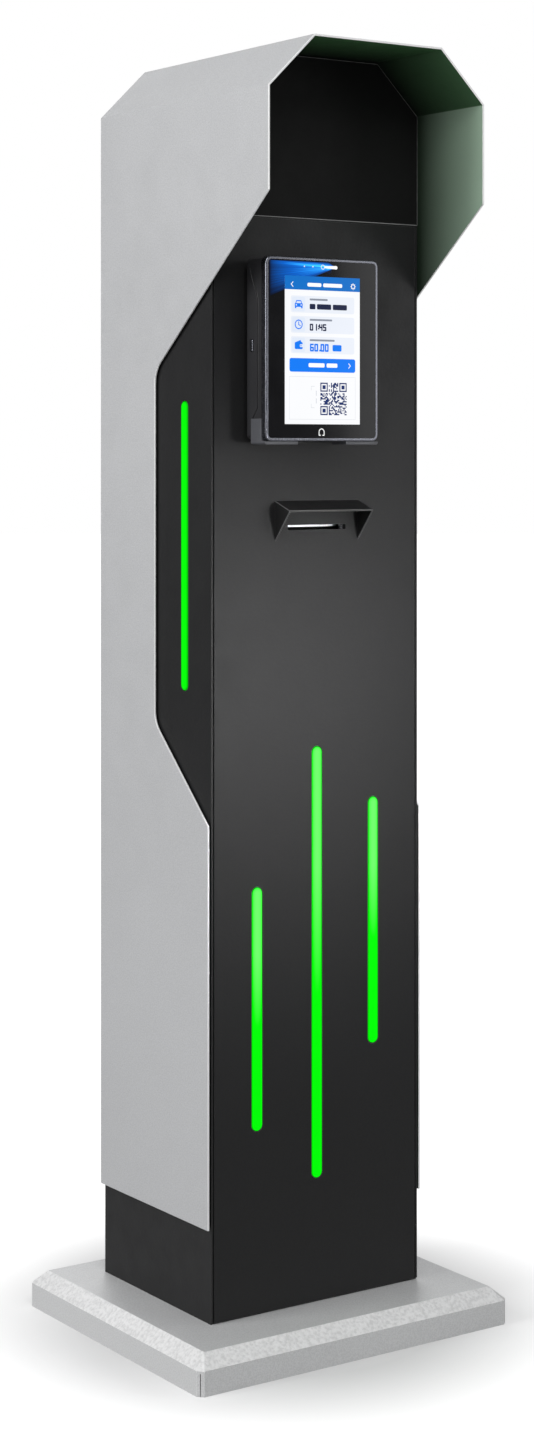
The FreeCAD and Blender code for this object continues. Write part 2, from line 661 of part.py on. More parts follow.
def light_boxes(name, span, across, low, high, inward_y):
    """The channel behind a light and the board with its chips, as (channel, board)."""
    half = size("light_width") / 2 + size("light_flange")
    wall = size("channel_sheet")
    depth = size("channel_depth")
    start = span

    def block(label, side_low, side_high, deep_low, deep_high, up_low, up_high):
        if inward_y == "y":
            return box(label, (side_low, side_high), (start + deep_low, start + deep_high), (up_low,
                   up_high))
        if inward_y == "left":
            return box(label, (start + deep_low, start + deep_high), (side_low, side_high), (up_low,
                   up_high))
        return box(label, (start - deep_high, start - deep_low), (side_low, side_high), (up_low, up_high))

    outside = block(name + "Outside", across - half, across + half, ZERO, depth, low - 4, high + 4)
    room = block(name + "Room", across - half + wall, across + half - wall, ZERO, depth - wall,
                 low - 2.5, high + 2.5)
    channel = cut(name + "Channel", outside, [room])
    board_half = size("board_width") / 2
    board_top = depth - wall - size("board_thickness")
    strip = block(name + "Strip", across - board_half, across + board_half, board_top, depth - wall, low,
                  high)
    chips = []
    half_chip = size("chip_width") / 2
    count = int((plain(high) - plain(low)) / SIZES["chip_pitch"])
    for number in range(count):
        middle = low + size("chip_pitch") * (number + 0.5)
        chips.append(block(f"{name}Chip{number}", across - half_chip, across + half_chip,
                           board_top - size("chip_height"), board_top, middle - half_chip,
                           middle + half_chip))
    return channel, joined(name + "Board", [strip] + chips)


def build_lights():
    rear = panel_back + size("flange_thickness")
    channels, boards, front_lenses = [], [], []
    for side in ("left", "middle", "right"):
        across, low, high = (size(f"{side}_light_{place}") for place in ("x", "low", "high"))
        front_lenses.append(light_lens(side.title() + "Lens", FRONT, across, low, high, column_front, 1))
        channel, board = light_boxes(side.title(), rear, across, low, high, "y")
        channels.append(channel)
        boards.append(board)
    middle = column_front + size("side_light_back")
    low, high = size("side_light_low"), size("side_light_high")
    side_lenses = [light_lens("LeftSideLens", SIDE, middle, low, high, -column_half, 1),
                   light_lens("RightSideLens", SIDE, middle, low, high, column_half, -1)]
    inner = column_inner - size("flange_thickness")
    for name, start, way in (("SideLeft", -inner, "left"), ("SideRight", inner, "right")):
        channel, board = light_boxes(name, start, middle, low, high, way)
        channels.append(channel)
        boards.append(board)
    finish(group("FrontLights", front_lenses), "front_lights")
    finish(group("SideLights", side_lenses), "side_lights")
    finish(group("LightChannels", channels), "light_channels")
    finish(group("LightBoards", boards), "light_boards")


# ---------------------------------------------------------------- receipt hood and chute

def build_receipt_hood():
    body = new_body("ReceiptHood")
    half = size("receipt_width") / 2
    wall = size("receipt_sheet")
    tip = column_front - size("receipt_reach")
    tip_top = size("receipt_top") - size("receipt_drop")
    outline = [(column_front, size("receipt_top")), (tip, tip_top), (tip, tip_top - wall),
               (column_front, size("receipt_low"))]
    pad(body, SIDE, -half, half, draw_polygon, outline)
    room = [(column_front + 1, size("receipt_top") - wall), (column_front, size("receipt_top") - wall),
            (tip, tip_top - wall), (tip - 1, tip_top - wall), (tip - 1, size("receipt_low") - 1),
            (column_front + 1, size("receipt_low") - 1)]
    pocket(body, SIDE, -(half - wall), half - wall, draw_polygon, room)
    finish(body, "receipt_hood")


def build_receipt_chute():
    half = size("slot_width") / 2
    half_opening = size("slot_opening") / 2
    lip = size("chute_lip")
    middle = size("slot_height")
    back = panel_back + size("chute_depth")
    outside = box("ChuteOutside", (-(half + lip), half + lip), (panel_back, back),
                  (middle - half_opening - lip, middle + half_opening + lip))
    mouth = box("ChuteMouth", (-half, half), (panel_back, back), (middle - half_opening,
                                                                  middle + half_opening))
    finish(cut("ReceiptChute", outside, [mouth]), "receipt_chute")


# ---------------------------------------------------------------- payment terminal

def terminal_centre():
    return (terminal_middle, size("terminal_low") + size("terminal_height") / 2)


def cradle_screw_places():
    """Four screws through the column into the cradle, as places along X and Z."""
    middle, height = terminal_centre()
    across = terminal_half - size("cradle_inset") - size("cradle_screw_inset")
    up = size("terminal_height") / 2 - size("cradle_inset") - size("cradle_screw_inset")
    return [(middle + across * sign_x, height + up * sign_z) for sign_x in (-1, 1) for sign_z in (-1, 1)]


def terminal_frame_outline(inset):
    return rectangle(terminal_middle - terminal_half + inset, terminal_middle + terminal_half - inset,
                     size("terminal_low") + inset, terminal_top - inset)


def rounded_block(name, low, high, inset, radius):
    """A block with the terminal's outline, inset, with rounded upright corners."""
    body = new_body(name)
    pad(body, FRONT, low, high, draw_polygon, terminal_frame_outline(inset))
    dress_edges(body, "Fillet", radius, lambda edge: runs_along(edge, 1))
    return body


def soften(body, plane_place, radius):
    """Rounds the rim of a body's face that faces the front."""

    def on_face(edge):
        return all(abs(vertex.Point.y - plain(plane_place)) < 1e-4 for vertex in edge.Vertexes)

    return dress_edges(body, "Fillet", radius, on_face)


def build_terminal_rim():
    inset = size("rim_width")
    outside = rounded_block("RimOutside", terminal_face, rim_back, ZERO, size("terminal_corner"))
    soften(outside, terminal_face, 1.5)
    inside = rounded_block("RimInside", terminal_face - 1, rim_back + 1, inset,
                           size("terminal_corner") - inset)
    finish(cut("TerminalRim", outside, [inside]), "terminal_rim")


def build_terminal_glass():
    inset = size("rim_width") + size("glass_play")
    start = terminal_face + 0.3
    body = rounded_block("TerminalGlass", start, start + size("glass_thickness"), inset,
                         size("terminal_corner") - inset)
    middle, height = lens_place()
    pocket(body, FRONT, start, start + size("glass_thickness"), draw_circle, (middle, height),
           size("lens_radius"))
    finish(body, "terminal_glass")


def lens_place():
    return (terminal_middle + size("lens_offset"), terminal_top - size("rim_width") - size("lens_drop"))


def build_terminal_lens():
    start = terminal_face + 0.3
    lens = rod("LensDisc", "y", lens_place(), size("lens_radius"), start, start + size("glass_thickness"))
    barrel = rod("LensBarrel", "y", lens_place(), size("lens_radius") * 0.8,
                 start + size("glass_thickness"),
                 rim_back - 1)
    finish(joined("TerminalLens", [lens, barrel]), "terminal_camera")


def build_terminal_display():
    start = terminal_face + 0.3 + size("glass_thickness")
    half = size("display_width") / 2
    low = size("terminal_low") + size("display_rise")
    finish(box("TerminalDisplay", (terminal_middle - half, terminal_middle + half),
               (start, start + size("display_thickness")), (low, low + size("display_height"))),
               "terminal_display")


def groove_outline():
    """The stepped groove down each side of the housing, as places along Y and Z."""
    width = size("groove_width")
    rear = cradle_front - 6
    front = rim_back + 9
    top = terminal_top - 12
    bend = terminal_top - 50
    low = size("terminal_low") + 26
    return [(rear, top), (front, bend), (front, low + 12), (front + 10, low), (front + 10 + width * 1.2,
           low),
            (front + width, low + 13), (front + width, bend + 1), (rear + width * 0.6, top + width * 0.6)]


def build_terminal_housing():
    inset = size("housing_inset")
    outside = rounded_block("HousingOutside", rim_back, cradle_front, inset, size("housing_corner"))
    doc.recompute()
    left = terminal_middle - terminal_half + inset
    right = terminal_middle + terminal_half - inset
    depth = size("groove_depth")
    pocket(outside, SIDE, left - 1, left + depth, draw_polygon, groove_outline())
    pocket(outside, SIDE, right - depth, right + 1, draw_polygon, groove_outline())
    wall = size("housing_wall")
    pocket(outside, FRONT, rim_back, cradle_front - wall, draw_polygon,
           terminal_frame_outline(inset + wall))
    pocket(outside, FRONT, cradle_front - wall, cradle_front, draw_circle, terminal_centre(),
           size("cable_port_radius"))
    button_y, button_z = button_place()
    half_width = size("button_width") / 2 + size("button_play")
    half_length = size("button_length") / 2 + size("button_play")
    pocket(outside, SIDE, left - 1, left + wall, draw_polygon,
           rectangle(button_y - half_width, button_y + half_width, button_z - half_length,
                     button_z + half_length))
    finish(outside, "terminal_housing")


def button_place():
    """The middle of the side button along Y and Z."""
    return ((rim_back + cradle_front) / 2 + 6, size("terminal_low") + size("terminal_height") * 0.52)


def build_terminal_button():
    button_y, button_z = button_place()
    left = terminal_middle - terminal_half + size("housing_inset")
    body = new_body("TerminalButton")
    half_width = size("button_width") / 2
    half_length = size("button_length") / 2
    rear = left + size("housing_wall")
    pad(body, SIDE, left - size("button_stand"), rear, draw_polygon,
        rectangle(button_y - half_width, button_y + half_width, button_z - half_length,
                  button_z + half_length))
    dress_edges(body, "Fillet", 0.8, lambda edge: edge.BoundBox.XMax < plain(left - size("button_stand")) + 1e-3)
    finish(body, "terminal_button")


def build_terminal_board():
    inset = size("board_inset")
    front = rim_back + 4
    board = box("MainBoard", (terminal_middle - terminal_half + inset,
                              terminal_middle + terminal_half - inset),
                (front, front + size("board_thickness")), (size("terminal_low") + inset,
                                                           terminal_top - inset))
    back = front + size("board_thickness")
    middle, height = terminal_centre()
    chips = [box("Processor", (middle - 12, middle + 12), (back, back + 2.5), (height + 30, height + 54)),
             box("Memory", (middle + 22, middle + 34), (back, back + 1.4), (height + 34, height + 50)),
             box("RadioCan", (middle - 45, middle - 25), (back, back + 3), (height - 20, height + 12)),
             box("Socket", (middle - 14, middle + 14), (back, back + 7), (height - 62, height - 52))]
    finish(joined("TerminalBoard", [board] + chips), "terminal_board")


def build_terminal_bumpers():
    bumpers = []
    low = size("terminal_low") - size("bumper_drop")
    wall = size("bumper_wall")
    back = terminal_face + size("bumper_depth")
    for name, sign in (("Left", -1), ("Right", 1)):
        edge = terminal_middle + terminal_half * sign
        inner = edge - size("bumper_length") * sign
        outer = edge + 0.8 * sign
        span = (outer, inner) if sign < 0 else (inner, outer)
        body = new_body("Bumper" + name)
        pad(body, FRONT, rim_back, back, draw_polygon, rectangle(*span, low, size("terminal_low") + 26))
        keep_out = (edge - (wall - 1) * sign, inner - sign)
        keep_out = keep_out if sign < 0 else keep_out[::-1]
        pocket(body, FRONT, rim_back, back, draw_polygon,
               rectangle(*keep_out, size("terminal_low") + size("housing_inset"),
                         size("terminal_low") + 27))
        pad(body, FRONT, terminal_face + 1, rim_back, draw_polygon,
            rectangle(*span, low, size("terminal_low")))

        def outer_corner(corner, place=outer, foot_place=low):
            middle = corner.CenterOfMass
            return (runs_along(corner, 1) and abs(middle.x - plain(place)) < 0.01
                    and abs(middle.z - plain(foot_place)) < 0.01)

        dress_edges(body, "Fillet", 3.2, outer_corner)
        bumpers.append(body)
    finish(group("TerminalBumpers", bumpers), "terminal_bumpers")


def build_terminal_cradle():
    body = rounded_block("TerminalCradle", cradle_front, column_front, size("cradle_inset"),
                         size("housing_corner"))
    pocket(body, FRONT, cradle_front, column_front, draw_circle, terminal_centre(),
           size("cable_port_radius"))
    for place in cradle_screw_places():
        pocket(body, FRONT, cradle_front + 1, column_front, draw_circle, place, size("cradle_screw_radius"))
    finish(body, "terminal_cradle")


def build_cradle_screws():
    screws = []
    radius = size("cradle_screw_radius")
    for number, place in enumerate(cradle_screw_places()):
        shank = rod(f"CradleShank{number}", "y", place, radius, cradle_front + 1, panel_back)
        head = rod(f"CradleHead{number}", "y", place, radius * 2, panel_back, panel_back + radius * 1.3)
        screws.append(joined(f"CradleScrew{number}", [shank, head]))
    finish(group("CradleScrews", screws), "cradle_screws")


# ---------------------------------------------------------------- receipt printer

def build_printer_shelf():
    body = new_body("PrinterShelf")
    half = size("shelf_width") / 2
    low = size("shelf_height")
    wall = size("shelf_sheet")
    back = panel_back + size("shelf_depth")
    pad(body, TOP, low, shelf_top, draw_polygon, rectangle(-half, half, panel_back, back))
    pad(body, TOP, low - size("shelf_apron"), low, draw_polygon, rectangle(-half, half, panel_back,
           panel_back + wall))
    gusset = [(panel_back + wall, low), (back - 20, low), (panel_back + wall, low - size("shelf_apron"))]
    pad(body, SIDE, half - wall, half, draw_polygon, gusset)
    pad(body, SIDE, -half, wall - half, draw_polygon, gusset)
    finish(body, "printer_shelf")


def motor_place():
    """The drive motor's axis, one mesh distance behind and below the platen's."""
    distance = size("gear_module") * (size("gear_teeth") + size("pinion_teeth")) / 2
    slope = math.sqrt(0.5)
    return (size("platen_y") + distance * slope, platen_z - distance * slope)


def lid_pin_place():
    return (chassis_back - 6, chassis_top - 6)


def build_printer_chassis():
    body = new_body("PrinterChassis")
    front = size("chassis_front")
    wall = size("chassis_sheet")
    pad(body, TOP, shelf_top, shelf_top + wall, draw_polygon, rectangle(-chassis_half, chassis_half,
           front, chassis_back))
    for low, high in ((-chassis_half, -chassis_inner), (chassis_inner, chassis_half)):
        pad(body, TOP, shelf_top + wall, chassis_top, draw_polygon, rectangle(low, high, front,
               chassis_back))
    platen_bore = size("platen_shaft_radius") + size("bearing_play")
    pocket(body, SIDE, -chassis_half, chassis_half, draw_circle, (size("platen_y"), platen_z), platen_bore)
    pocket(body, SIDE, -chassis_half, chassis_half, draw_circle, (size("roll_y"), roll_z),
           size("spindle_radius"))
    pocket(body, SIDE, -chassis_half, chassis_half, draw_circle, lid_pin_place(),
           size("lid_pin_radius") + size("pin_play"))
    pocket(body, SIDE, chassis_inner, chassis_half, draw_circle, motor_place(),
           size("motor_shaft_radius") + size("bearing_play"))
    finish(body, "printer_chassis")


def build_platen():
    centre = (size("platen_y"), platen_z)
    half = size("platen_width") / 2
    stand = chassis_half + size("gear_stand")
    finish(ring("PlatenRoller", "x", centre, size("platen_radius"), size("platen_shaft_radius"), -half,
                half),
           "platen_roller")
    finish(rod("PlatenShaft", "x", centre, size("platen_shaft_radius"), -(chassis_half + 3),
               stand + size("gear_face") + 1), "platen_shaft")


def gear_outline(teeth, centre, turn):
    """A closed wire of straight-sided teeth about a place along Y and Z."""
    module = plain(size("gear_module"))
    pitch = module * teeth / 2
    backlash = plain(size("gear_backlash"))
    half_pitch = (math.pi * module / 2 - backlash) / pitch / 2
    tip, root = pitch + 0.85 * module, pitch - 1.1 * module
    points = []
    for tooth in range(teeth):
        middle = turn + 2 * math.pi * tooth / teeth
        for radius, offset in ((root, -1.45), (tip, -0.45), (tip, 0.45), (root, 1.45)):
            angle = middle + offset * half_pitch
            points.append(FreeCAD.Vector(0, plain(centre[0]) + radius * math.cos(angle),
                                         plain(centre[1]) + radius * math.sin(angle)))
    return Part.makePolygon(points + points[:1])


def gear(name, teeth, centre, bore, turn, start):
    """A spur gear along X. Its teeth follow a formula, so its shape is set here from the sheet."""
    face = plain(size("gear_face"))
    blank = Part.Face(gear_outline(teeth, centre, turn)).extrude(FreeCAD.Vector(face, 0, 0))
    axis_foot = FreeCAD.Vector(0, plain(centre[0]), plain(centre[1]))
    hole = Part.makeCylinder(plain(bore), face, axis_foot, FreeCAD.Vector(1, 0, 0))
    solid = doc.addObject("Part::Feature", name)
    solid.Shape = blank.cut(hole)
    solid.Placement = FreeCAD.Placement(FreeCAD.Vector(plain(start), 0, 0), FreeCAD.Rotation())
    return solid


def build_printer_drive():
    stand = chassis_half + size("gear_stand")
    platen_centre = (size("platen_y"), platen_z)
    teeth = int(SIZES["gear_teeth"])
    pinion_teeth = int(SIZES["pinion_teeth"])
    towards_motor = -math.pi / 4
    towards_platen = 3 * math.pi / 4
    finish(gear("PlatenGear", teeth, platen_centre, size("platen_shaft_radius"), towards_motor, stand),
           "platen_gear")
    toothed = gear("PinionTeeth", pinion_teeth, motor_place(), size("motor_shaft_radius") / 2,
                   towards_platen + math.pi / pinion_teeth, stand)
    shaft = rod("PinionShaft", "x", motor_place(), size("motor_shaft_radius"),
                chassis_inner - size("motor_length") / 2 + 1, stand + size("gear_face") + 1)
    finish(joined("MotorPinion", [toothed, shaft]), "motor_pinion")
    can = rod("MotorCan", "x", motor_place(), size("motor_radius"), chassis_inner - size("motor_length"),
              chassis_inner)
    boss = ring("MotorBoss", "x", motor_place(), size("motor_radius") * 0.5, size("motor_shaft_radius"),
                chassis_inner - size("motor_length") - 2, chassis_inner - size("motor_length"))
    well = rod("MotorWell", "x", motor_place(), size("motor_shaft_radius") + size("bearing_play"),
               chassis_inner - size("motor_length") / 2, chassis_inner)
    finish(cut("PrinterMotor", joined("MotorWhole", [can, boss]), [well]), "printer_motor")


def build_print_head():
    half = size("platen_width") / 2
    low = size("slot_height")
    middle = size("platen_y")
    depth = size("head_depth") / 2
    bar = box("HeadBar", (-half, half), (middle - depth, middle + depth), (low, low + size("head_height")))
    left = box("HeadArmLeft", (-chassis_inner, -half), (middle - depth, middle), (low + 3,
           low + size("head_height")))
    right = box("HeadArmRight", (half, chassis_inner), (middle - depth, middle), (low + 3,
           low + size("head_height")))
    fins = [box(f"HeadFin{number}", (-half + 6 + number * 12, -half + 8 + number * 12),
                (middle - depth, middle + depth), (low + size("head_height"),
                                                   low + size("head_height") + 5))
            for number in range(7)]
    finish(joined("PrintHead", [bar, left, right] + fins), "print_head")


def blade_half():
    return size("platen_width") / 2 + 1


def build_cutter():
    front = size("chassis_front")
    guide_back = front + size("guide_depth")
    blade_front = front + 0.5
    blade_back = blade_front + size("blade_thickness")
    half = blade_half()
    rest_foot = size("slot_height") + 4
    posts = []
    for name, low, high in (("Left", -chassis_inner, -half), ("Right", half, chassis_inner)):
        inner = (half - 2 if low.number > 0 else low, high if low.number > 0 else -(half - 2))
        post = box("GuidePost" + name, (low, high), (front, guide_back), (shelf_top + 40, chassis_top - 2))
        keeper = box("GuideKeeper" + name, inner, (blade_back + size("blade_play"), guide_back),
                     (shelf_top + 40, chassis_top - 2))
        posts += [post, keeper]
    bar = box("FixedBlade", (-half, half), (blade_back + size("blade_play"), guide_back),
              (size("slot_height") - 14, size("slot_height") - 4))
    finish(joined("CutterFrame", posts + [bar]), "cutter_frame")
    play = size("blade_play")
    finish(box("CutterBlade", (-(half - play), half - play), (blade_front, blade_back),
               (rest_foot, rest_foot + size("blade_height"))), "cutter_blade")


def build_paper():
    centre = (size("roll_y"), roll_z)
    half = size("roll_width") / 2
    finish(ring("PaperRoll", "x", centre, size("roll_radius"), size("core_radius"), -half, half),
           "paper_roll")
    finish(ring("PaperCore", "x", centre, size("core_radius"),
                size("spindle_radius") + size("bearing_play"),
                -half, half), "paper_core")
    finish(rod("PaperSpindle", "x", centre, size("spindle_radius"), -(chassis_half + 2), chassis_half + 2),
           "paper_spindle")


def build_printer_lid():
    body = new_body("PrinterLid")
    play = size("lid_play")
    low = chassis_top + play
    top = low + size("lid_sheet")
    front = size("chassis_front") + 2
    back = chassis_back - 2
    pin_y, pin_z = lid_pin_place()
    ear_out = chassis_inner - play
    ear_in = ear_out - 4
    step = pin_y - size("lid_relief")
    pad(body, TOP, low, top, draw_polygon,
        [(-chassis_half, front), (chassis_half, front), (chassis_half, step), (ear_out, step), (ear_out,
               back),
         (-ear_out, back), (-ear_out, step), (-chassis_half, step)])
    reach = 4.5
    ear = [(pin_y - reach, pin_z - reach + 1), (pin_y + reach - 1, pin_z - reach + 1),
           (pin_y + reach - 1, low),
           (pin_y - reach, low)]
    pad(body, SIDE, ear_in, ear_out, draw_polygon, ear)
    pad(body, SIDE, -ear_out, -ear_in, draw_polygon, ear)
    pad(body, SIDE, ear_out, chassis_half, draw_circle, lid_pin_place(), size("lid_pin_radius"))
    pad(body, SIDE, -chassis_half, -ear_out, draw_circle, lid_pin_place(), size("lid_pin_radius"))
    pad(body, TOP, top, top + 5, draw_polygon, rectangle(-size("lid_tab"), size("lid_tab"), front,
                                                         front + 3))
    finish(body, "printer_lid")


# ---------------------------------------------------------------- service door

def build_rear_door():
    body = new_body("RearDoor")
    wall = size("door_skin")
    edge = door_inner - size("door_edge")
    low, high = size("door_low"), size("door_high")
    pad(body, FRONT, door_inner, door_outer, draw_polygon, rectangle(door_left, door_right, low, high))
    pad(body, FRONT, edge, door_inner, draw_polygon, rectangle(door_left, door_right, low, high))
    pocket(body, FRONT, edge, door_inner, draw_polygon,
           rectangle(door_left + wall, door_right - wall, low + wall, high - wall))
    for height in (size("low_lock"), size("high_lock")):
        pocket(body, FRONT, door_inner, door_outer, draw_circle, (size("lock_x"), height),
               size("lock_radius"))
    finish(body, "rear_door")


def build_door_seal():
    low = size("door_low") + 1
    high = size("door_high") - 1
    outer = column_inner - size("door_hinge_gap") - 1
    width = size("seal_width")
    front = rear_lip_outer
    back = door_inner - size("door_edge") - size("seal_play")
    outside = box("SealOutside", (-outer, outer), (front, back), (low, high))
    inside = box("SealInside", (width - outer, outer - width), (front, back), (low + width, high - width))
    finish(cut("DoorSeal", outside, [inside]), "door_seal")


def hinge_places():
    return [size("low_hinge"), size("middle_hinge"), size("high_hinge")]


def build_hinges():
    fixed, moving, pins = [], [], []
    radius = size("knuckle_radius")
    bore = size("pin_radius") + size("pin_play")
    leaf = size("leaf_thickness")
    centre = (hinge_x, hinge_y)
    third = size("hinge_length") / 3
    play = size("knuckle_play") / 2
    for number, low in enumerate(hinge_places()):
        name = f"Hinge{number}"
        wall_leaf = box(name + "WallLeaf", (-column_inner, leaf - column_inner), (rear_lip_outer + 1,
               hinge_y),
                        (low, low + size("hinge_length")))
        ends = [rod(f"{name}Knuckle{step}", "z", centre, radius, low + third * step,
                    low + third * (step + 1) - play)
                for step in (0,)]
        ends += [rod(f"{name}KnuckleTop", "z", centre, radius, low + third * 2 + play, low + third * 3)]
        room = rod(name + "Room", "z", centre, radius + 0.4, low + third - play, low + third * 2 + play)
        plate = cut(name + "Plate", wall_leaf, [room])
        whole = joined(name + "Fixed", [plate] + ends)
        fixed.append(cut(name + "FixedLeaf", whole,
                         [rod(name + "FixedBore", "z", centre, size("pin_radius"), low, low + third * 3)]))
        middle = rod(name + "MiddleKnuckle", "z", centre, radius, low + third + play,
                     low + third * 2 - play)
        door_leaf = box(name + "DoorLeaf", (hinge_x, hinge_x + size("leaf_width")), (door_outer,
               door_outer + leaf),
                        (low + third + play, low + third * 2 - play))
        web = box(name + "DoorWeb", (hinge_x + radius * 0.6, hinge_x + size("leaf_width")),
                  (door_outer, door_outer + leaf), (low, low + third * 3))
        gap = [rod(f"{name}Clear{step}", "z", centre, radius + 0.4, low - 1 + (third * 2 + 1) * step,
                   low + third + play + (third * 2 + 1 - play * 2) * step) for step in (0, 1)]
        moving_whole = joined(name + "Moving", [middle, door_leaf, cut(name + "WebCut", web, gap)])
        moving.append(cut(name + "MovingLeaf", moving_whole,
                          [rod(name + "MovingBore", "z", centre, bore, low, low + third * 3)]))
        pins.append(rod(name + "Pin", "z", centre, size("pin_radius"), low, low + third * 3))
    finish(group("FixedLeaves", fixed), "hinge_fixed_leaves")
    finish(group("DoorLeaves", moving), "hinge_door_leaves")
    finish(group("HingePins", pins), "hinge_pins")


def build_locks():
    housings = []
    cam_back = rear_lip_inner - size("cam_behind")
    cam_front = cam_back - size("cam_thickness")
    barrel_bore = size("barrel_radius") + size("barrel_play")
    for word, height in (("low", size("low_lock")), ("high", size("high_lock"))):
        centre = (size("lock_x"), height)
        tube = rod(word + "LockTube", "y", centre, size("lock_radius"), cam_back + 0.3, door_outer)
        collar = rod(word + "LockCollar", "y", centre, size("lock_collar"), door_outer, door_outer + 2)
        bore = rod(word + "LockBore", "y", centre, barrel_bore, cam_back, door_outer + 2)
        housings.append(cut(word + "LockHousing", joined(word + "LockBody", [tube, collar]), [bore]))
        barrel = rod(word + "Barrel", "y", centre, size("barrel_radius"), cam_back, door_outer + 1.5)
        half_slot = size("key_slot_width") / 2
        slot_reach = size("key_slot_depth")
        slot = box(word + "KeySlot", (size("lock_x") - half_slot, size("lock_x") + half_slot),
                   (door_outer - slot_reach, door_outer + 2), (height - 4, height + 4))
        finish(cut(word + "LockBarrel", barrel, [slot]), f"{word}_lock_barrel")
        half_cam = size("cam_width") / 2
        arm = box(word + "CamArm", (size("lock_x") - half_cam, size("lock_x") + half_cam), (cam_front,
               cam_back),
                  (height - size("cam_length"), height))
        eye = rod(word + "CamEye", "y", centre, half_cam, cam_front, cam_back)
        finish(joined(word + "Cam", [arm, eye]), f"{word}_lock_cam")
    finish(group("LockHousings", housings), "lock_housings")


# ---------------------------------------------------------------- electronics

def build_equipment_tray():
    body = new_body("EquipmentTray")
    wall = size("tray_sheet")
    back = tray_face
    front = back - size("tray_edge")
    outline = [(-column_inner, front), (wall - column_inner, front), (wall - column_inner, back - wall),
               (column_inner - wall, back - wall), (column_inner - wall, front), (column_inner, front),
               (column_inner, back), (-column_inner, back)]
    pad(body, TOP, size("tray_low"), size("tray_high"), draw_polygon, outline)
    pocket(body, FRONT, back - wall, back, draw_stadium, ZERO, size("tray_high") - 110,
           size("tray_high") - 30,
           size("tray_slot"))
    finish(body, "equipment_tray")


def build_power_supply():
    body = new_body("PowerSupply")
    left = size("supply_x")
    right = left + size("supply_width")
    low = size("supply_low")
    high = low + size("supply_height")
    back = tray_face + size("supply_depth")
    pad(body, FRONT, tray_face, back, draw_polygon, rectangle(left, right, low, high))
    pocket(body, FRONT, back - 20, back, draw_polygon, rectangle(left + 4, right - 4, low, low + 16))
    rows = int((SIZES["supply_height"] - 50) / SIZES["vent_pitch"])
    for row in range(rows):
        place = low + 32 + size("vent_pitch") * row
        pocket(body, FRONT, back - 1.5, back, draw_polygon,
               rectangle(left + 12, right - 12, place, place + size("vent_width")))
    screws = [rod(f"SupplyScrew{number}", "y", (left + 14 + 14 * number, low + 8), size("supply_screw"),
                  back - 20, back - 12)
              for number in range(6)]
    finish(joined("PowerSupplyWhole", [body] + screws), "power_supply")


def build_controller():
    left = size("controller_x")
    right = left + size("controller_width")
    low = size("controller_low")
    high = low + size("controller_height")
    back = tray_face + size("controller_depth")
    case = box("ControllerCase", (left, right), (tray_face, back), (low, high))
    count = int((SIZES["controller_width"] - 8) / SIZES["fin_pitch"])
    fins = [box(f"ControllerFin{number}", (left + 5 + size("fin_pitch") * number,
                                           left + 5 + size("fin_pitch") * number + size("fin_width")),
                (back, back + size("fin_depth")), (low + 6, high - 6)) for number in range(count)]
    sockets = [box(f"ControllerSocket{number}", (left + 8 + 24 * number, left + 24 + 24 * number),
                   (tray_face + 8, tray_face + 22), (low - 3, low)) for number in range(4)]
    finish(joined("Controller", [case] + fins + sockets), "controller")


def build_din_rail():
    body = new_body("DinRail")
    wall = size("rail_sheet")
    half = size("rail_height") / 2
    web = half - 4.5
    middle = size("rail_z")
    back = tray_face + size("rail_depth")
    upper = [(tray_face, middle + web + wall), (back - wall, middle + web + wall), (back - wall,
           middle + half),
             (back, middle + half), (back, middle + web), (tray_face + wall, middle + web)]
    lower = [(tray_face + wall, middle - web), (back, middle - web), (back, middle - half),
             (back - wall, middle - half), (back - wall, middle - web - wall), (tray_face,
                    middle - web - wall)]
    reach = size("rail_length") / 2
    pad(body, SIDE, -reach, reach, draw_polygon, upper + lower)
    finish(body, "din_rail")


def toggle_place():
    return (tray_face + size("rail_depth") + size("breaker_depth") - 3, size("rail_z"))


def build_breaker():
    body = new_body("Breaker")
    foot_y = tray_face + size("rail_depth")
    middle = size("rail_z")
    tall = size("breaker_height") / 2
    nose = size("breaker_nose") / 2
    shoulder = foot_y + size("breaker_shoulder")
    back = foot_y + size("breaker_depth")
    left = size("breaker_x")
    right = left + size("breaker_width")
    outline = [(foot_y, middle - tall), (shoulder, middle - tall), (shoulder, middle - nose), (back,
           middle - nose),
               (back, middle + nose), (shoulder, middle + nose), (shoulder, middle + tall), (foot_y,
                      middle + tall)]
    pad(body, SIDE, left, right, draw_polygon, outline)
    across = left + size("breaker_width") / 2
    half = size("toggle_width") / 2 + size("toggle_play")
    toggle_y, toggle_z = toggle_place()
    pocket(body, SIDE, across - half, across + half, draw_circle, (toggle_y, toggle_z),
           size("toggle_radius") + size("toggle_play"))
    pocket(body, SIDE, across - half, across + half, draw_polygon,
           rectangle(toggle_y - 1, back + 1, toggle_z - 15, toggle_z + 15))
    finish(body, "breaker")
    drum = rod("ToggleDrum", "x", toggle_place(), size("toggle_radius"), across - size("toggle_width") / 2,
               across + size("toggle_width") / 2)
    lever = box("ToggleLever", (across - size("toggle_width") / 2, across + size("toggle_width") / 2),
                (toggle_y, toggle_y + size("toggle_lever")), (toggle_z - 2, toggle_z + 2))
    finish(joined("BreakerToggle", [drum, lever]), "breaker_toggle")


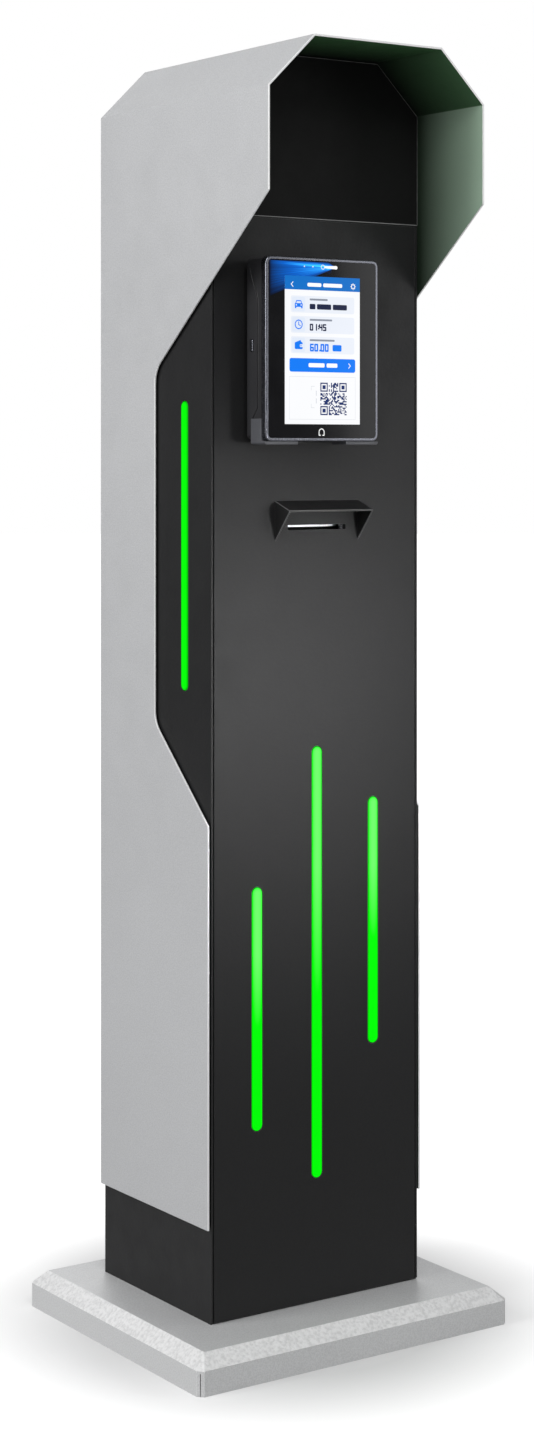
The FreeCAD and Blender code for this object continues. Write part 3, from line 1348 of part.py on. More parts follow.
def build_terminal_blocks():
    blocks = []
    foot_y = tray_face + size("rail_depth")
    middle = size("rail_z")
    tall = size("block_height") / 2
    back = foot_y + size("block_depth")
    for number in range(int(SIZES["block_count"])):
        left = size("block_x") + (size("block_width") + size("block_gap")) * number
        right = left + size("block_width")
        base = box(f"BlockBase{number}", (left, right), (foot_y, back - 12), (middle - tall, middle + tall))
        crown = box(f"BlockCrown{number}", (left, right), (back - 12, back), (middle - tall + 10,
               middle + tall - 10))
        across = (left + right) / 2
        holes = [rod(f"BlockHole{number}{name}", "y", (across, middle + (tall - 5) * sign),
                     size("block_screw_radius"),
                     back - 20, back - 12) for name, sign in (("Low", -1), ("High", 1))]
        blocks.append(cut(f"Block{number}", joined(f"BlockWhole{number}", [base, crown]), holes))
    finish(group("TerminalBlocks", blocks), "terminal_blocks")


# ---------------------------------------------------------------- ventilation

def fan_centre():
    return (ZERO, size("fan_z"))


def build_fan():
    half = size("fan_size") / 2
    back = column_back - size("column_sheet")
    front = back - size("fan_depth")
    web = front + size("fan_web")
    body = new_body("FanFrame")
    middle = size("fan_z")
    pad(body, FRONT, front, back, draw_polygon, rectangle(-half, half, middle - half, middle + half))
    dress_edges(body, "Fillet", size("fan_corner"), lambda edge: runs_along(edge, 1))
    pocket(body, FRONT, front, back, draw_circle, fan_centre(), size("fan_bore"))
    for across, up in ((1, 1), (1, -1), (-1, 1), (-1, -1)):
        reach = half - size("fan_screw_inset")
        place = (reach * across, middle + reach * up)
        pocket(body, FRONT, front, back, draw_circle, place, size("fan_screw"))
    hub = rod("FanSeat", "y", fan_centre(), size("fan_hub"), front, web)
    arms = []
    for number in range(3):
        arm = doc.addObject("Part::Box", f"FanArm{number}")
        bind(arm, "Length", size("fan_bore") + 0.5)
        bind(arm, "Width", size("fan_web"))
        bind(arm, "Height", 4)
        turn = FreeCAD.Rotation(FreeCAD.Vector(0, 1, 0), 90 + 120 * number)
        arm.Placement = FreeCAD.Placement(FreeCAD.Vector(0, plain(front), plain(middle)), turn)
        bind(arm, "Placement.Base.y", front)
        bind(arm, "Placement.Base.z", middle)
        arms.append(arm)
    shaft = rod("FanShaft", "y", fan_centre(), size("fan_shaft"), web, back - 8)
    finish(joined("FanFrameWhole", [body, hub, shaft] + arms), "fan_frame")
    rotor_hub = rod("RotorHub", "y", fan_centre(), size("fan_hub"), web + 1, back - 3)
    blades = []
    count = int(SIZES["blade_count"])
    for number in range(count):
        blade = doc.addObject("Part::Box", f"FanBlade{number}")
        bind(blade, "Length", size("fan_blade_reach"))
        bind(blade, "Width", size("blade_chord"))
        bind(blade, "Height", 1.6)
        pitch = FreeCAD.Rotation(FreeCAD.Vector(1, 0, 0), 50)
        spin = FreeCAD.Rotation(FreeCAD.Vector(0, 1, 0), 360 / count * number)
        centring = pitch.multVec(FreeCAD.Vector(0, -SIZES["blade_chord"] / 2, -0.8))
        half_way = (plain(web) + plain(back)) / 2 - 1
        place = FreeCAD.Vector(0, half_way, plain(middle)) + spin.multVec(centring)
        blade.Placement = FreeCAD.Placement(place, spin.multiply(pitch))
        blades.append(blade)
    solid = joined("RotorWhole", [rotor_hub] + blades)
    well = rod("RotorWell", "y", fan_centre(), size("fan_shaft") + size("bearing_play"), web + 1, back - 7)
    finish(cut("FanRotor", solid, [well]), "fan_rotor")


# ---------------------------------------------------------------- the whole

def check(thing):
    """Stops if an object failed or a piece has no sound solid."""
    if "Invalid" in thing.State or "Error" in thing.State:
        raise RuntimeError(f"{thing.Label} failed: {thing.State}")


def build_all():
    for build in (build_plinth_cover, build_base_plate, build_base_posts, build_foot_bolts,
                  build_cable_gland,
                  build_column_body, build_front_panel, build_upper_panel, build_rear_upper_panel,
                  build_shell,
                  build_shell_fixings, build_lights, build_receipt_hood, build_receipt_chute,
                  build_terminal_rim,
                  build_terminal_glass, build_terminal_lens, build_terminal_display, build_terminal_housing,
                  build_terminal_button, build_terminal_board, build_terminal_bumpers,
                  build_terminal_cradle,
                  build_cradle_screws, build_printer_shelf, build_printer_chassis, build_platen,
                  build_printer_drive, build_print_head, build_cutter, build_paper, build_printer_lid,
                  build_rear_door, build_door_seal, build_hinges, build_locks, build_equipment_tray,
                  build_power_supply, build_controller, build_din_rail, build_breaker,
                  build_terminal_blocks,
                  build_fan):
        build()
    doc.recompute()
    for thing in doc.Objects:
        check(thing)
    for piece in pieces:
        if piece.Shape.isNull() or not piece.Shape.isValid() or not piece.Shape.Solids:
            raise RuntimeError(f"{piece.Label} has no sound solid")


build_all()
os.makedirs("parts", exist_ok=True)
for piece in pieces:
    piece.Shape.exportStep(f"parts/{piece.Label}.step")
print(len(pieces), "pieces written")
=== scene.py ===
"""Looks of a parking pay station: finishes, lit screen, lenses, fixings and studio around a fixed frame."""

import json
import logging
import math
import random
from dataclasses import dataclass, field
from enum import Enum
from typing import Iterable, Sequence

import bmesh
import bpy
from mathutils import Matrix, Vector

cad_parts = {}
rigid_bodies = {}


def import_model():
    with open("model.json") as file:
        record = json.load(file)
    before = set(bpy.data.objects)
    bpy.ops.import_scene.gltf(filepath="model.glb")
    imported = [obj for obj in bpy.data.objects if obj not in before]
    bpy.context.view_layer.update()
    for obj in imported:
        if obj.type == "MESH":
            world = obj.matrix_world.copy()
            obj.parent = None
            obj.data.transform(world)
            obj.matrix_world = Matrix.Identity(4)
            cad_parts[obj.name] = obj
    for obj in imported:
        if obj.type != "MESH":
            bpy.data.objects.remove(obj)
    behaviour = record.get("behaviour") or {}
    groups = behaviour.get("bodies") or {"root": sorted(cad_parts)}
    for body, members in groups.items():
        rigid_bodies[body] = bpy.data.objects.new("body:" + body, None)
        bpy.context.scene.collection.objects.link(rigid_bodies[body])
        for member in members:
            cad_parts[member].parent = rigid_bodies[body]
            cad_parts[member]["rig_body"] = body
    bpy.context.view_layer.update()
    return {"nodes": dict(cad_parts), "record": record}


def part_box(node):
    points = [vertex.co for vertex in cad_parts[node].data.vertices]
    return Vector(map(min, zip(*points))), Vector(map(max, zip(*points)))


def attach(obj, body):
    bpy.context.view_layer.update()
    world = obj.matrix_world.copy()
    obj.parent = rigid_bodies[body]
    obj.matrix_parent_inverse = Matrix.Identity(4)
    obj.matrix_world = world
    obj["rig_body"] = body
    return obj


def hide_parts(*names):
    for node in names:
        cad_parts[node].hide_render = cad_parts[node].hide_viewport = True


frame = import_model()

MM = 0.001
Colour = tuple[float, float, float]
Point = tuple[float, float]
log = logging.getLogger("pay_station")


# ---------------------------------------------------------------- node trees


class Wiring:
    """A node tree with a short way to join its nodes."""

    tree: bpy.types.NodeTree

    def link(self, source: bpy.types.Node, output: str | int,
             target: bpy.types.Node, entry: str | int) -> None:
        """Joins an output to an input.

        Args:
            source: Node that gives the value.
            output: Its socket.
            target: Node that takes the value.
            entry: Its socket.
        """
        self.tree.links.new(source.outputs[output], target.inputs[entry])


class Shader(Wiring):
    """A short way to fill a material's node tree."""

    def __init__(self, name: str) -> None:
        """Starts an empty material with an output.

        Args:
            name: The material's name.
        """
        self.material = bpy.data.materials.new(name)
        self.material.use_nodes = True
        self.tree = self.material.node_tree
        self.tree.nodes.clear()
        self.output = self.tree.nodes.new("ShaderNodeOutputMaterial")
        self.surface = self.add("ShaderNodeBsdfPrincipled")
        self.link(self.surface, "BSDF", self.output, "Surface")

    @classmethod
    def reopen(cls, material: bpy.types.Material) -> "Shader":
        """Takes up a finished material again, to add to it.

        Args:
            material: A material made by this class.

        Returns:
            The shader, ready for more nodes.
        """
        shader = cls.__new__(cls)
        shader.material = material
        shader.tree = material.node_tree
        shader.surface = next(node for node in shader.tree.nodes if node.type == "BSDF_PRINCIPLED")
        return shader

    def add(self, kind: str, **settings: object) -> bpy.types.Node:
        """Adds a node and sets its properties and sockets.

        Args:
            kind: The node's type.
            settings: Properties by name, or input sockets by name with _ for spaces.

        Returns:
            The new node.
        """
        node = self.tree.nodes.new(kind)
        for name, value in settings.items():
            socket = node.inputs.get(name.replace("_", " "))
            if socket is not None:
                socket.default_value = value
            else:
                setattr(node, name, value)
        return node

    def set(self, **values: object) -> None:
        """Sets the surface shader's own sockets, named with _ for spaces."""
        for name, value in values.items():
            self.surface.inputs[name.replace("_", " ")].default_value = value

    def place(self) -> bpy.types.Node:
        """The coordinates of the piece itself."""
        return self.add("ShaderNodeTexCoord")

    def noise(self, scale: float, detail: float = 3.0, roughness: float = 0.55,
              stretch: Sequence[float] = (1.0, 1.0, 1.0)) -> bpy.types.Node:
        """A noise texture on the piece's own coordinates.

        Args:
            scale: Features per metre.
            detail: Octaves.
            roughness: How strong the fine octaves are.
            stretch: Scale along each axis.

        Returns:
            The noise node.
        """
        mapping = self.add("ShaderNodeMapping", Scale=tuple(stretch))
        texture = self.add("ShaderNodeTexNoise", Scale=scale, Detail=detail, Roughness=roughness)
        self.link(self.place(), "Object", mapping, "Vector")
        self.link(mapping, "Vector", texture, "Vector")
        return texture

    def ramp(self, source: bpy.types.Node, output: str | int, low: Sequence[float], high: Sequence[float],
             start: float = 0.3, end: float = 0.7) -> bpy.types.Node:
        """Turns a value into a colour between two others.

        Args:
            source: Node with the value.
            output: Its socket.
            low: Colour at and below start.
            high: Colour at and above end.
            start: Value where the blend begins.
            end: Value where it ends.

        Returns:
            The ramp node.
        """
        ramp = self.add("ShaderNodeValToRGB")
        ramp.color_ramp.elements[0].position = start
        ramp.color_ramp.elements[0].color = (*low, 1.0)
        ramp.color_ramp.elements[1].position = end
        ramp.color_ramp.elements[1].color = (*high, 1.0)
        self.link(source, output, ramp, "Fac")
        return ramp

    def spread(self, source: bpy.types.Node, output: str | int, low: float, high: float,
               start: float = 0.25, end: float = 0.75) -> bpy.types.Node:
        """Maps a value from one range to another.

        Args:
            source: Node with the value.
            output: Its socket.
            low: Result at start.
            high: Result at end.
            start: Value that gives low.
            end: Value that gives high.

        Returns:
            The map node.
        """
        spread = self.add("ShaderNodeMapRange")
        for entry, value in (("From Min", start), ("From Max", end), ("To Min", low), ("To Max", high)):
            spread.inputs[entry].default_value = value
        self.link(source, output, spread, "Value")
        return spread

    def bump(self, source: bpy.types.Node, output: str | int, strength: float, depth: float,
             under: bpy.types.Node | None = None) -> bpy.types.Node:
        """Raises the surface by a value.

        Args:
            source: Node with the height.
            output: Its socket.
            strength: Share of the effect.
            depth: Height in metres.
            under: An earlier bump to build on.

        Returns:
            The bump node.
        """
        bump = self.add("ShaderNodeBump", Strength=strength, Distance=depth)
        self.link(source, output, bump, "Height")
        if under is not None:
            self.link(under, "Normal", bump, "Normal")
        return bump

    def wear_normal(self, bump: bpy.types.Node) -> None:
        """Gives the surface shader a bumped normal."""
        self.link(bump, "Normal", self.surface, "Normal")


def shade(colour: Colour, by: float) -> Colour:
    """A colour made lighter or darker by a factor."""
    return tuple(min(1.0, part * by) for part in colour)


class Grain(Enum):
    """The way brush marks run on a metal."""

    ALONG_X = (4.0, 120.0, 120.0)
    ALONG_Z = (120.0, 120.0, 4.0)


@dataclass(frozen=True)
class PowderCoat:
    """Baked powder paint with orange peel and a fine fleck."""

    name: str
    colour: Colour
    roughness: float
    metallic: float = 0.0
    fleck: float = 0.06
    peel: float = 0.25
    foot_dust: float = 0.0
    gloss: float = 0.5
    edge_wear_and_highlight: float = 0.0

    def make(self) -> bpy.types.Material:
        """Builds the material."""
        shader = Shader(self.name)
        cloud = shader.noise(2.2, 4.0)
        dark, light = shade(self.colour, 1 - self.fleck), shade(self.colour, 1 + self.fleck)
        tint = shader.ramp(cloud, "Fac", dark, light)
        fine = shader.noise(620.0, 2.0)
        fleck = shader.ramp(fine, "Fac", (0.86,) * 3, (1.12,) * 3, 0.38, 0.62)
        mix = shader.add("ShaderNodeMix", data_type="RGBA", blend_type="MULTIPLY")
        mix.inputs[0].default_value = 0.55
        shader.link(tint, "Color", mix, 6)
        shader.link(fleck, "Color", mix, 7)
        last = mix
        if self.foot_dust > 0:
            last = self.dusted(shader, mix)
        # edges lightened, partly as wear and partly as painted highlight
        if self.edge_wear_and_highlight > 0:
            last = self.lighten_edges_wear_and_highlight(shader, last)
        shader.tree.links.new(last.outputs[2], shader.surface.inputs["Base Color"])
        rough = shader.noise(35.0, 3.0)
        rougher = shader.spread(rough, "Fac", self.roughness - 0.05, self.roughness + 0.07)
        shader.link(rougher, "Result", shader.surface, "Roughness")
        peel = shader.noise(230.0, 2.0, 0.4)
        coarse = shader.bump(peel, "Fac", self.peel, 0.0004)
        shader.wear_normal(shader.bump(fine, "Fac", self.peel * 0.8, 0.00018, coarse))
        shader.set(Metallic=self.metallic, Specular_IOR_Level=self.gloss)
        return shader.material

    def lighten_edges_wear_and_highlight(self, shader: Shader, under: bpy.types.Node) -> bpy.types.Node:
        """Lightens the rounded edges: partly paint thinned and polished by hands, partly a painted highlight
        where the edges catch light.

        Args:
            shader: The material being built.
            under: Node with the colour so far.

        Returns:
            The node with the lightened edges.
        """
        edge = shader.add("ShaderNodeAttribute", attribute_name="edge")
        rub = shader.noise(26.0, 3.0)
        share = shader.spread(rub, "Fac", 0.75, 1.0)
        both = shader.add("ShaderNodeMath", operation="MULTIPLY")
        shader.link(edge, "Fac", both, 0)
        shader.link(share, "Result", both, 1)
        light = shader.add("ShaderNodeMix", data_type="RGBA")
        light.inputs[7].default_value = (self.edge_wear_and_highlight, self.edge_wear_and_highlight, self.edge_wear_and_highlight, 1.0)
        shader.link(both, 0, light, 0)
        shader.tree.links.new(under.outputs[2], light.inputs[6])
        return light

    def dusted(self, shader: Shader, under: bpy.types.Node) -> bpy.types.Node:
        """Adds a film of dust that fades out a little above the floor.

        Args:
            shader: The material being built.
            under: Node with the clean colour.

        Returns:
            The node with the dusty colour.
        """
        split = shader.add("ShaderNodeSeparateXYZ")
        shader.link(shader.place(), "Object", split, "Vector")
        height = shader.spread(split, "Z", self.foot_dust, 0.0, 0.0, 0.22)
        dust = shader.add("ShaderNodeMix", data_type="RGBA", blend_type="MIX")
        dust.inputs[7].default_value = (0.3, 0.29, 0.27, 1.0)
        shader.link(height, "Result", dust, 0)
        shader.tree.links.new(under.outputs[2], dust.inputs[6])
        return dust


@dataclass(frozen=True)
class Hooded(PowderCoat):
    """The shell's paint, with painted green light and painted shade on the inner faces of the hood."""

    # painted shade deep in the hood, painted green light near its opening, painted shade on faces under the
    # roof
    hood_deep_painted_shade: Colour = (0.02, 0.035, 0.021)
    hood_front_painted_green_light: Colour = (0.48, 0.66, 0.5)
    roof_painted_shade: Colour = (0.1, 0.21, 0.1)
    # painted highlight on the sheet's front-facing faces and edges
    front_face_painted_highlight: Colour = (0.9, 0.9, 0.9)

    def make(self) -> bpy.types.Material:
        """Builds the material; inward faces get painted light and painted shade, front-facing faces a painted
        highlight.
        """
        material = PowderCoat.make(self)
        shader = Shader.reopen(material)
        paint = shader.surface.inputs["Base Color"].links[0].from_socket
        split = shader.add("ShaderNodeSeparateXYZ")
        shader.link(shader.place(), "Object", split, "Vector")
        normal = shader.add("ShaderNodeSeparateXYZ")
        shader.link(shader.place(), "Normal", normal, "Vector")
        # inner faces of the sheet get painted light and painted shade in place of the silver paint
        across = shader.add("ShaderNodeMath", operation="MULTIPLY")
        shader.link(split, "X", across, 0)
        shader.link(normal, "X", across, 1)
        under = shader.add("ShaderNodeMath", operation="MULTIPLY")
        shader.link(normal, "Z", under, 0)
        under.inputs[1].default_value = 0.15
        total = shader.add("ShaderNodeMath", operation="ADD")
        shader.link(across, 0, total, 0)
        shader.link(under, 0, total, 1)
        inward = shader.add("ShaderNodeMath", operation="LESS_THAN")
        inward.inputs[1].default_value = -0.02
        shader.link(total, 0, inward, 0)
        # painted light: lighter and greener towards the front of the hood, darker deeper in
        pale = shader.spread(split, "Y", 0.0, 1.0, -0.11, -0.225)
        blend = shader.add("ShaderNodeMix", data_type="RGBA")
        blend.inputs[6].default_value = (*self.hood_deep_painted_shade, 1.0)
        blend.inputs[7].default_value = (*self.hood_front_painted_green_light, 1.0)
        shader.link(pale, "Result", blend, 0)
        # painted shade on faces that look down, under the roof
        overhead = shader.spread(normal, "Z", 0.0, 1.0, -0.2, -0.75)
        dimmer = shader.ramp(overhead, "Result", (1.0, 1.0, 1.0), self.roof_painted_shade, 0.0, 1.0)
        hood_painted_light_and_shade = shader.add("ShaderNodeMix", data_type="RGBA", blend_type="MULTIPLY")
        hood_painted_light_and_shade.inputs[0].default_value = 1.0
        shader.tree.links.new(blend.outputs[2], hood_painted_light_and_shade.inputs[6])
        shader.link(dimmer, "Color", hood_painted_light_and_shade, 7)
        chosen = shader.add("ShaderNodeMix", data_type="RGBA")
        shader.link(inward, 0, chosen, 0)
        shader.tree.links.new(paint, chosen.inputs[6])
        shader.tree.links.new(hood_painted_light_and_shade.outputs[2], chosen.inputs[7])
        # painted highlight: faces that look forward are made near white
        forward = shader.add("ShaderNodeMath", operation="LESS_THAN")
        forward.inputs[1].default_value = -0.45
        shader.link(normal, "Y", forward, 0)
        with_front_painted_highlight = shader.add("ShaderNodeMix", data_type="RGBA")
        with_front_painted_highlight.inputs[7].default_value = (*self.front_face_painted_highlight, 1.0)
        shader.link(forward, 0, with_front_painted_highlight, 0)
        shader.tree.links.new(chosen.outputs[2], with_front_painted_highlight.inputs[6])
        shader.tree.links.new(with_front_painted_highlight.outputs[2], shader.surface.inputs["Base Color"])
        return material


@dataclass(frozen=True)
class GroundFoot(PowderCoat):
    """The plinth's paint, with a painted highlight on the sloping bevel, coarse with grit."""

    # painted highlight of the sloping bevel, where it faces the light
    bevel: Colour = (0.97, 0.97, 0.97)

    def make(self) -> bpy.types.Material:
        """Builds the material, with the painted highlight put on faces by their slope."""
        shader = Shader.reopen(PowderCoat.make(self))
        paint = shader.surface.inputs["Base Color"].links[0].from_socket
        normal = shader.add("ShaderNodeSeparateXYZ")
        shader.link(shader.place(), "Normal", normal, "Vector")
        # painted highlight: faces that slope upward, but not the level top, are made near white
        rising = shader.spread(normal, "Z", 0.0, 1.0, 0.12, 0.3)
        level = shader.spread(normal, "Z", 1.0, 0.0, 0.9, 0.98)
        slope = shader.add("ShaderNodeMath", operation="MULTIPLY")
        shader.link(rising, "Result", slope, 0)
        shader.link(level, "Result", slope, 1)
        grit = shader.noise(240.0, 3.0)
        bright = shader.ramp(grit, "Fac", shade(self.bevel, 0.8), self.bevel, 0.35, 0.6)
        chosen = shader.add("ShaderNodeMix", data_type="RGBA")
        shader.link(slope, 0, chosen, 0)
        shader.tree.links.new(paint, chosen.inputs[6])
        shader.link(bright, "Color", chosen, 7)
        shader.tree.links.new(chosen.outputs[2], shader.surface.inputs["Base Color"])
        return shader.material


@dataclass(frozen=True)
class Metal:
    """Brushed, plated or ground metal."""

    name: str
    colour: Colour
    roughness: float = 0.3
    grain: Grain = Grain.ALONG_Z
    marks: float = 0.12

    def make(self) -> bpy.types.Material:
        """Builds the material."""
        shader = Shader(self.name)
        brush = shader.noise(14.0, 4.0, 0.7, self.grain.value)
        dark, light = shade(self.colour, 1 - self.marks), shade(self.colour, 1 + self.marks)
        tint = shader.ramp(brush, "Fac", dark, light)
        shader.link(tint, "Color", shader.surface, "Base Color")
        rough = shader.spread(brush, "Fac", self.roughness * 0.75, self.roughness * 1.3)
        shader.link(rough, "Result", shader.surface, "Roughness")
        shader.wear_normal(shader.bump(brush, "Fac", 0.12, 0.0001))
        shader.set(Metallic=1.0)
        return shader.material


@dataclass(frozen=True)
class Moulded:
    """Moulded plastic or rubber with a spark-eroded grain."""

    name: str
    colour: Colour
    roughness: float = 0.55
    pores: float = 700.0
    relief: float = 0.2

    def make(self) -> bpy.types.Material:
        """Builds the material."""
        shader = Shader(self.name)
        cloud = shader.noise(9.0, 3.0)
        tint = shader.ramp(cloud, "Fac", shade(self.colour, 0.88), shade(self.colour, 1.12))
        shader.link(tint, "Color", shader.surface, "Base Color")
        pores = shader.noise(self.pores, 2.0)
        rough = shader.spread(pores, "Fac", self.roughness - 0.08, self.roughness + 0.08)
        shader.link(rough, "Result", shader.surface, "Roughness")
        shader.wear_normal(shader.bump(pores, "Fac", self.relief, 0.00015))
        return shader.material


@dataclass(frozen=True)
class Polished:
    """Dark glass or a coated lens."""

    name: str
    colour: Colour
    roughness: float = 0.06
    coat: float = 0.0
    gloss: float = 0.25

    def make(self) -> bpy.types.Material:
        """Builds the material."""
        shader = Shader(self.name)
        smear = shader.noise(18.0, 4.0)
        tint = shader.ramp(smear, "Fac", shade(self.colour, 0.8), shade(self.colour, 1.25))
        shader.link(tint, "Color", shader.surface, "Base Color")
        rough = shader.spread(smear, "Fac", self.roughness, self.roughness + 0.05)
        shader.link(rough, "Result", shader.surface, "Roughness")
        shader.set(Coat_Weight=self.coat, Coat_Roughness=0.03, Specular_IOR_Level=self.gloss)
        return shader.material


@dataclass(frozen=True)
class LitLens:
    """A lit green diffuser, lighter along its heart."""

    name: str
    edge: Colour
    heart: Colour
    strength: float

    def make(self) -> bpy.types.Material:
        """Builds the material from the piece's own heart and rise attributes."""
        shader = Shader(self.name)
        heart = shader.add("ShaderNodeAttribute", attribute_name="heart")
        rise = shader.add("ShaderNodeAttribute", attribute_name="rise")
        lifted = shader.spread(rise, "Fac", 0.0, 1.0, 0.3, 0.72)
        share = shader.add("ShaderNodeMath", operation="MULTIPLY")
        shader.link(heart, "Fac", share, 0)
        shader.link(lifted, "Result", share, 1)
        tint = shader.ramp(share, 0, self.edge, self.heart, 0.3, 1.0)
        rim = shader.ramp(heart, "Fac", shade(self.edge, 0.3), (1.0, 1.0, 1.0), 0.0, 0.2)
        glow = shader.add("ShaderNodeMix", data_type="RGBA", blend_type="MULTIPLY")
        glow.inputs[0].default_value = 1.0
        shader.link(tint, "Color", glow, 6)
        shader.link(rim, "Color", glow, 7)
        shader.tree.links.new(glow.outputs[2], shader.surface.inputs["Emission Color"])
        cloud = shader.noise(60.0, 2.0)
        body = shader.ramp(cloud, "Fac", shade(self.edge, 0.05), shade(self.edge, 0.08))
        shader.link(body, "Color", shader.surface, "Base Color")
        shader.set(Emission_Strength=self.strength, Roughness=0.4, Specular_IOR_Level=0.05)
        return shader.material


@dataclass(frozen=True)
class LitInk:
    """One flat lit colour of the screen, seen through glass."""

    name: str
    colour: Colour
    strength: float = 0.9

    def make(self) -> bpy.types.Material:
        """Builds the material with the faint unevenness of a backlight."""
        shader = Shader(self.name)
        cloud = shader.noise(12.0, 2.0)
        tint = shader.ramp(cloud, "Fac", shade(self.colour, 0.97), self.colour)
        shader.link(tint, "Color", shader.surface, "Emission Color")
        shader.set(Base_Color=(0.01, 0.01, 0.01, 1.0), Emission_Strength=self.strength, Roughness=0.12,
                   Specular_IOR_Level=0.1)
        return shader.material


@dataclass(frozen=True)
class LightFan:
    """The rays of the status light across the dark glass."""

    name: str
    deep: Colour
    bright: Colour
    strength: float

    def make(self) -> bpy.types.Material:
        """Builds the material from the piece's own glow attribute."""
        shader = Shader(self.name)
        glow = shader.add("ShaderNodeAttribute", attribute_name="glow")
        tint = shader.ramp(glow, "Fac", self.deep, self.bright, 0.35, 1.0)
        shader.link(tint, "Color", shader.surface, "Emission Color")
        power = shader.spread(glow, "Fac", 0.0, self.strength, 0.0, 1.0)
        shader.link(power, "Result", shader.surface, "Emission Strength")
        shader.set(Base_Color=(0.004, 0.004, 0.005, 1.0), Roughness=0.08, Specular_IOR_Level=0.2)
        return shader.material


@dataclass(frozen=True)
class CircuitBoard:
    """Green solder mask over fine copper tracks."""

    name: str
    mask: Colour
    track: Colour

    def make(self) -> bpy.types.Material:
        """Builds the material."""
        shader = Shader(self.name)
        lines = shader.add("ShaderNodeTexWave", Scale=260.0, Distortion=6.0, Detail=1.0, bands_direction="Z")
        shader.link(shader.place(), "Object", lines, "Vector")
        tint = shader.ramp(lines, "Fac", self.mask, self.track, 0.55, 0.62)
        shader.link(tint, "Color", shader.surface, "Base Color")
        shader.wear_normal(shader.bump(lines, "Fac", 0.2, 0.00006))
        shader.set(Roughness=0.3)
        return shader.material


@dataclass(frozen=True)
class WoundPaper:
    """A roll of paper whose ends show the turns."""

    name: str
    colour: Colour
    turns: float

    def make(self) -> bpy.types.Material:
        """Builds the material."""
        shader = Shader(self.name)
        mapping = shader.add("ShaderNodeMapping")
        low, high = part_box("paper_roll")
        middle = (low + high) / 2
        mapping.inputs["Location"].default_value = (0.0, -middle.y, -middle.z)
        mapping.inputs["Scale"].default_value = (0.0, 1.0, 1.0)
        shader.link(shader.place(), "Object", mapping, "Vector")
        rings = shader.add("ShaderNodeTexWave", wave_type="RINGS", rings_direction="SPHERICAL",
                           Scale=self.turns, Distortion=1.5, Detail=1.0)
        shader.link(mapping, "Vector", rings, "Vector")
        tint = shader.ramp(rings, "Fac", shade(self.colour, 0.86), self.colour, 0.2, 0.7)
        shader.link(tint, "Color", shader.surface, "Base Color")
        shader.wear_normal(shader.bump(rings, "Fac", 0.25, 0.0001))
        shader.set(Roughness=0.6)
        return shader.material


SILVER = Hooded("silver_coat", (0.56, 0.565, 0.575), 0.5, metallic=0.2, fleck=0.03, peel=0.3)
# same silver paint as the shell, with a lighter base colour as painted light
PLINTH_PAINTED_LIGHT = GroundFoot("plinth_coat_painted_light", (0.69, 0.695, 0.7), 0.45, metallic=0.2, fleck=0.04, peel=0.35,
                    foot_dust=0.05, edge_wear_and_highlight=0.85)
BLACK = PowderCoat("black_coat", (0.013, 0.013, 0.0135), 0.45, fleck=0.12, peel=0.3, foot_dust=0.004,
                   gloss=0.3, edge_wear_and_highlight=0.16)
# the black paint made darker as painted shade, for the upper panel under the hood
BLACK_PAINTED_SHADE = PowderCoat("black_coat_painted_shade", (0.006, 0.006, 0.006), 0.6, fleck=0.1, peel=0.3, gloss=0.15,
                         edge_wear_and_highlight=0.4)
ZINC = Metal("zinc_steel", (0.62, 0.63, 0.64), 0.38)
STEEL = Metal("hard_steel", (0.55, 0.55, 0.56), 0.25, Grain.ALONG_X)
ALUMINIUM = Metal("bare_aluminium", (0.76, 0.77, 0.78), 0.34)
RIM = Metal("grey_metal", (0.2, 0.205, 0.235), 0.25, Grain.ALONG_Z, 0.06)
CHROME = Metal("chrome_lock", (0.82, 0.82, 0.84), 0.1, Grain.ALONG_X, 0.03)
SHELL_PLASTIC = Moulded("black_plastic", (0.022, 0.022, 0.024), 0.4)
GREY_PLASTIC = Moulded("grey_plastic", (0.07, 0.072, 0.08), 0.42)
PALE_PLASTIC = Moulded("pale_plastic", (0.66, 0.67, 0.65), 0.45)
RUBBER = Moulded("black_rubber", (0.015, 0.015, 0.015), 0.8, 420.0, 0.35)
NYLON = Moulded("nylon", (0.84, 0.82, 0.75), 0.35)
CARD = Moulded("card", (0.42, 0.31, 0.19), 0.8, 300.0, 0.4)
BLUE_CASE = PowderCoat("blue_case", (0.035, 0.09, 0.24), 0.4)
GLASS = Polished("dark_glass", (0.006, 0.006, 0.007))
LENS_GLASS = Polished("camera_lens", (0.012, 0.02, 0.05), 0.03)
BOARD = CircuitBoard("green_board", (0.012, 0.11, 0.04), (0.03, 0.2, 0.08))
PAPER = WoundPaper("thermal_paper", (0.9, 0.9, 0.88), 900.0)
GREEN_LENS = LitLens("green_lens", (0.0, 0.93, 0.001), (0.17, 1.0, 0.16), 1.0)

SLOT_FINISHES: dict[str, object] = {
    "silver_coat": SILVER, "black_coat": BLACK, "zinc_steel": ZINC, "hard_steel": STEEL,
    "bare_aluminium": ALUMINIUM, "grey_metal": RIM, "chrome_lock": CHROME, "black_plastic": SHELL_PLASTIC,
    "grey_plastic": GREY_PLASTIC, "pale_plastic": PALE_PLASTIC, "black_rubber": RUBBER, "nylon": NYLON,
    "card": CARD, "blue_case": BLUE_CASE, "dark_glass": GLASS, "camera_lens": LENS_GLASS,
    "green_board": BOARD,
    "thermal_paper": PAPER, "green_lens": GREEN_LENS, "lit_display": GLASS,
}


@dataclass
class FinishShelf:
    """Makes each finish once and hands out its material."""

    made: dict[str, bpy.types.Material] = field(default_factory=dict)

    def get(self, finish: object) -> bpy.types.Material:
        """The material of a finish, made on first use."""
        if finish.name not in self.made:
            self.made[finish.name] = finish.make()
        return self.made[finish.name]


SHELF = FinishShelf()


# ---------------------------------------------------------------- pieces


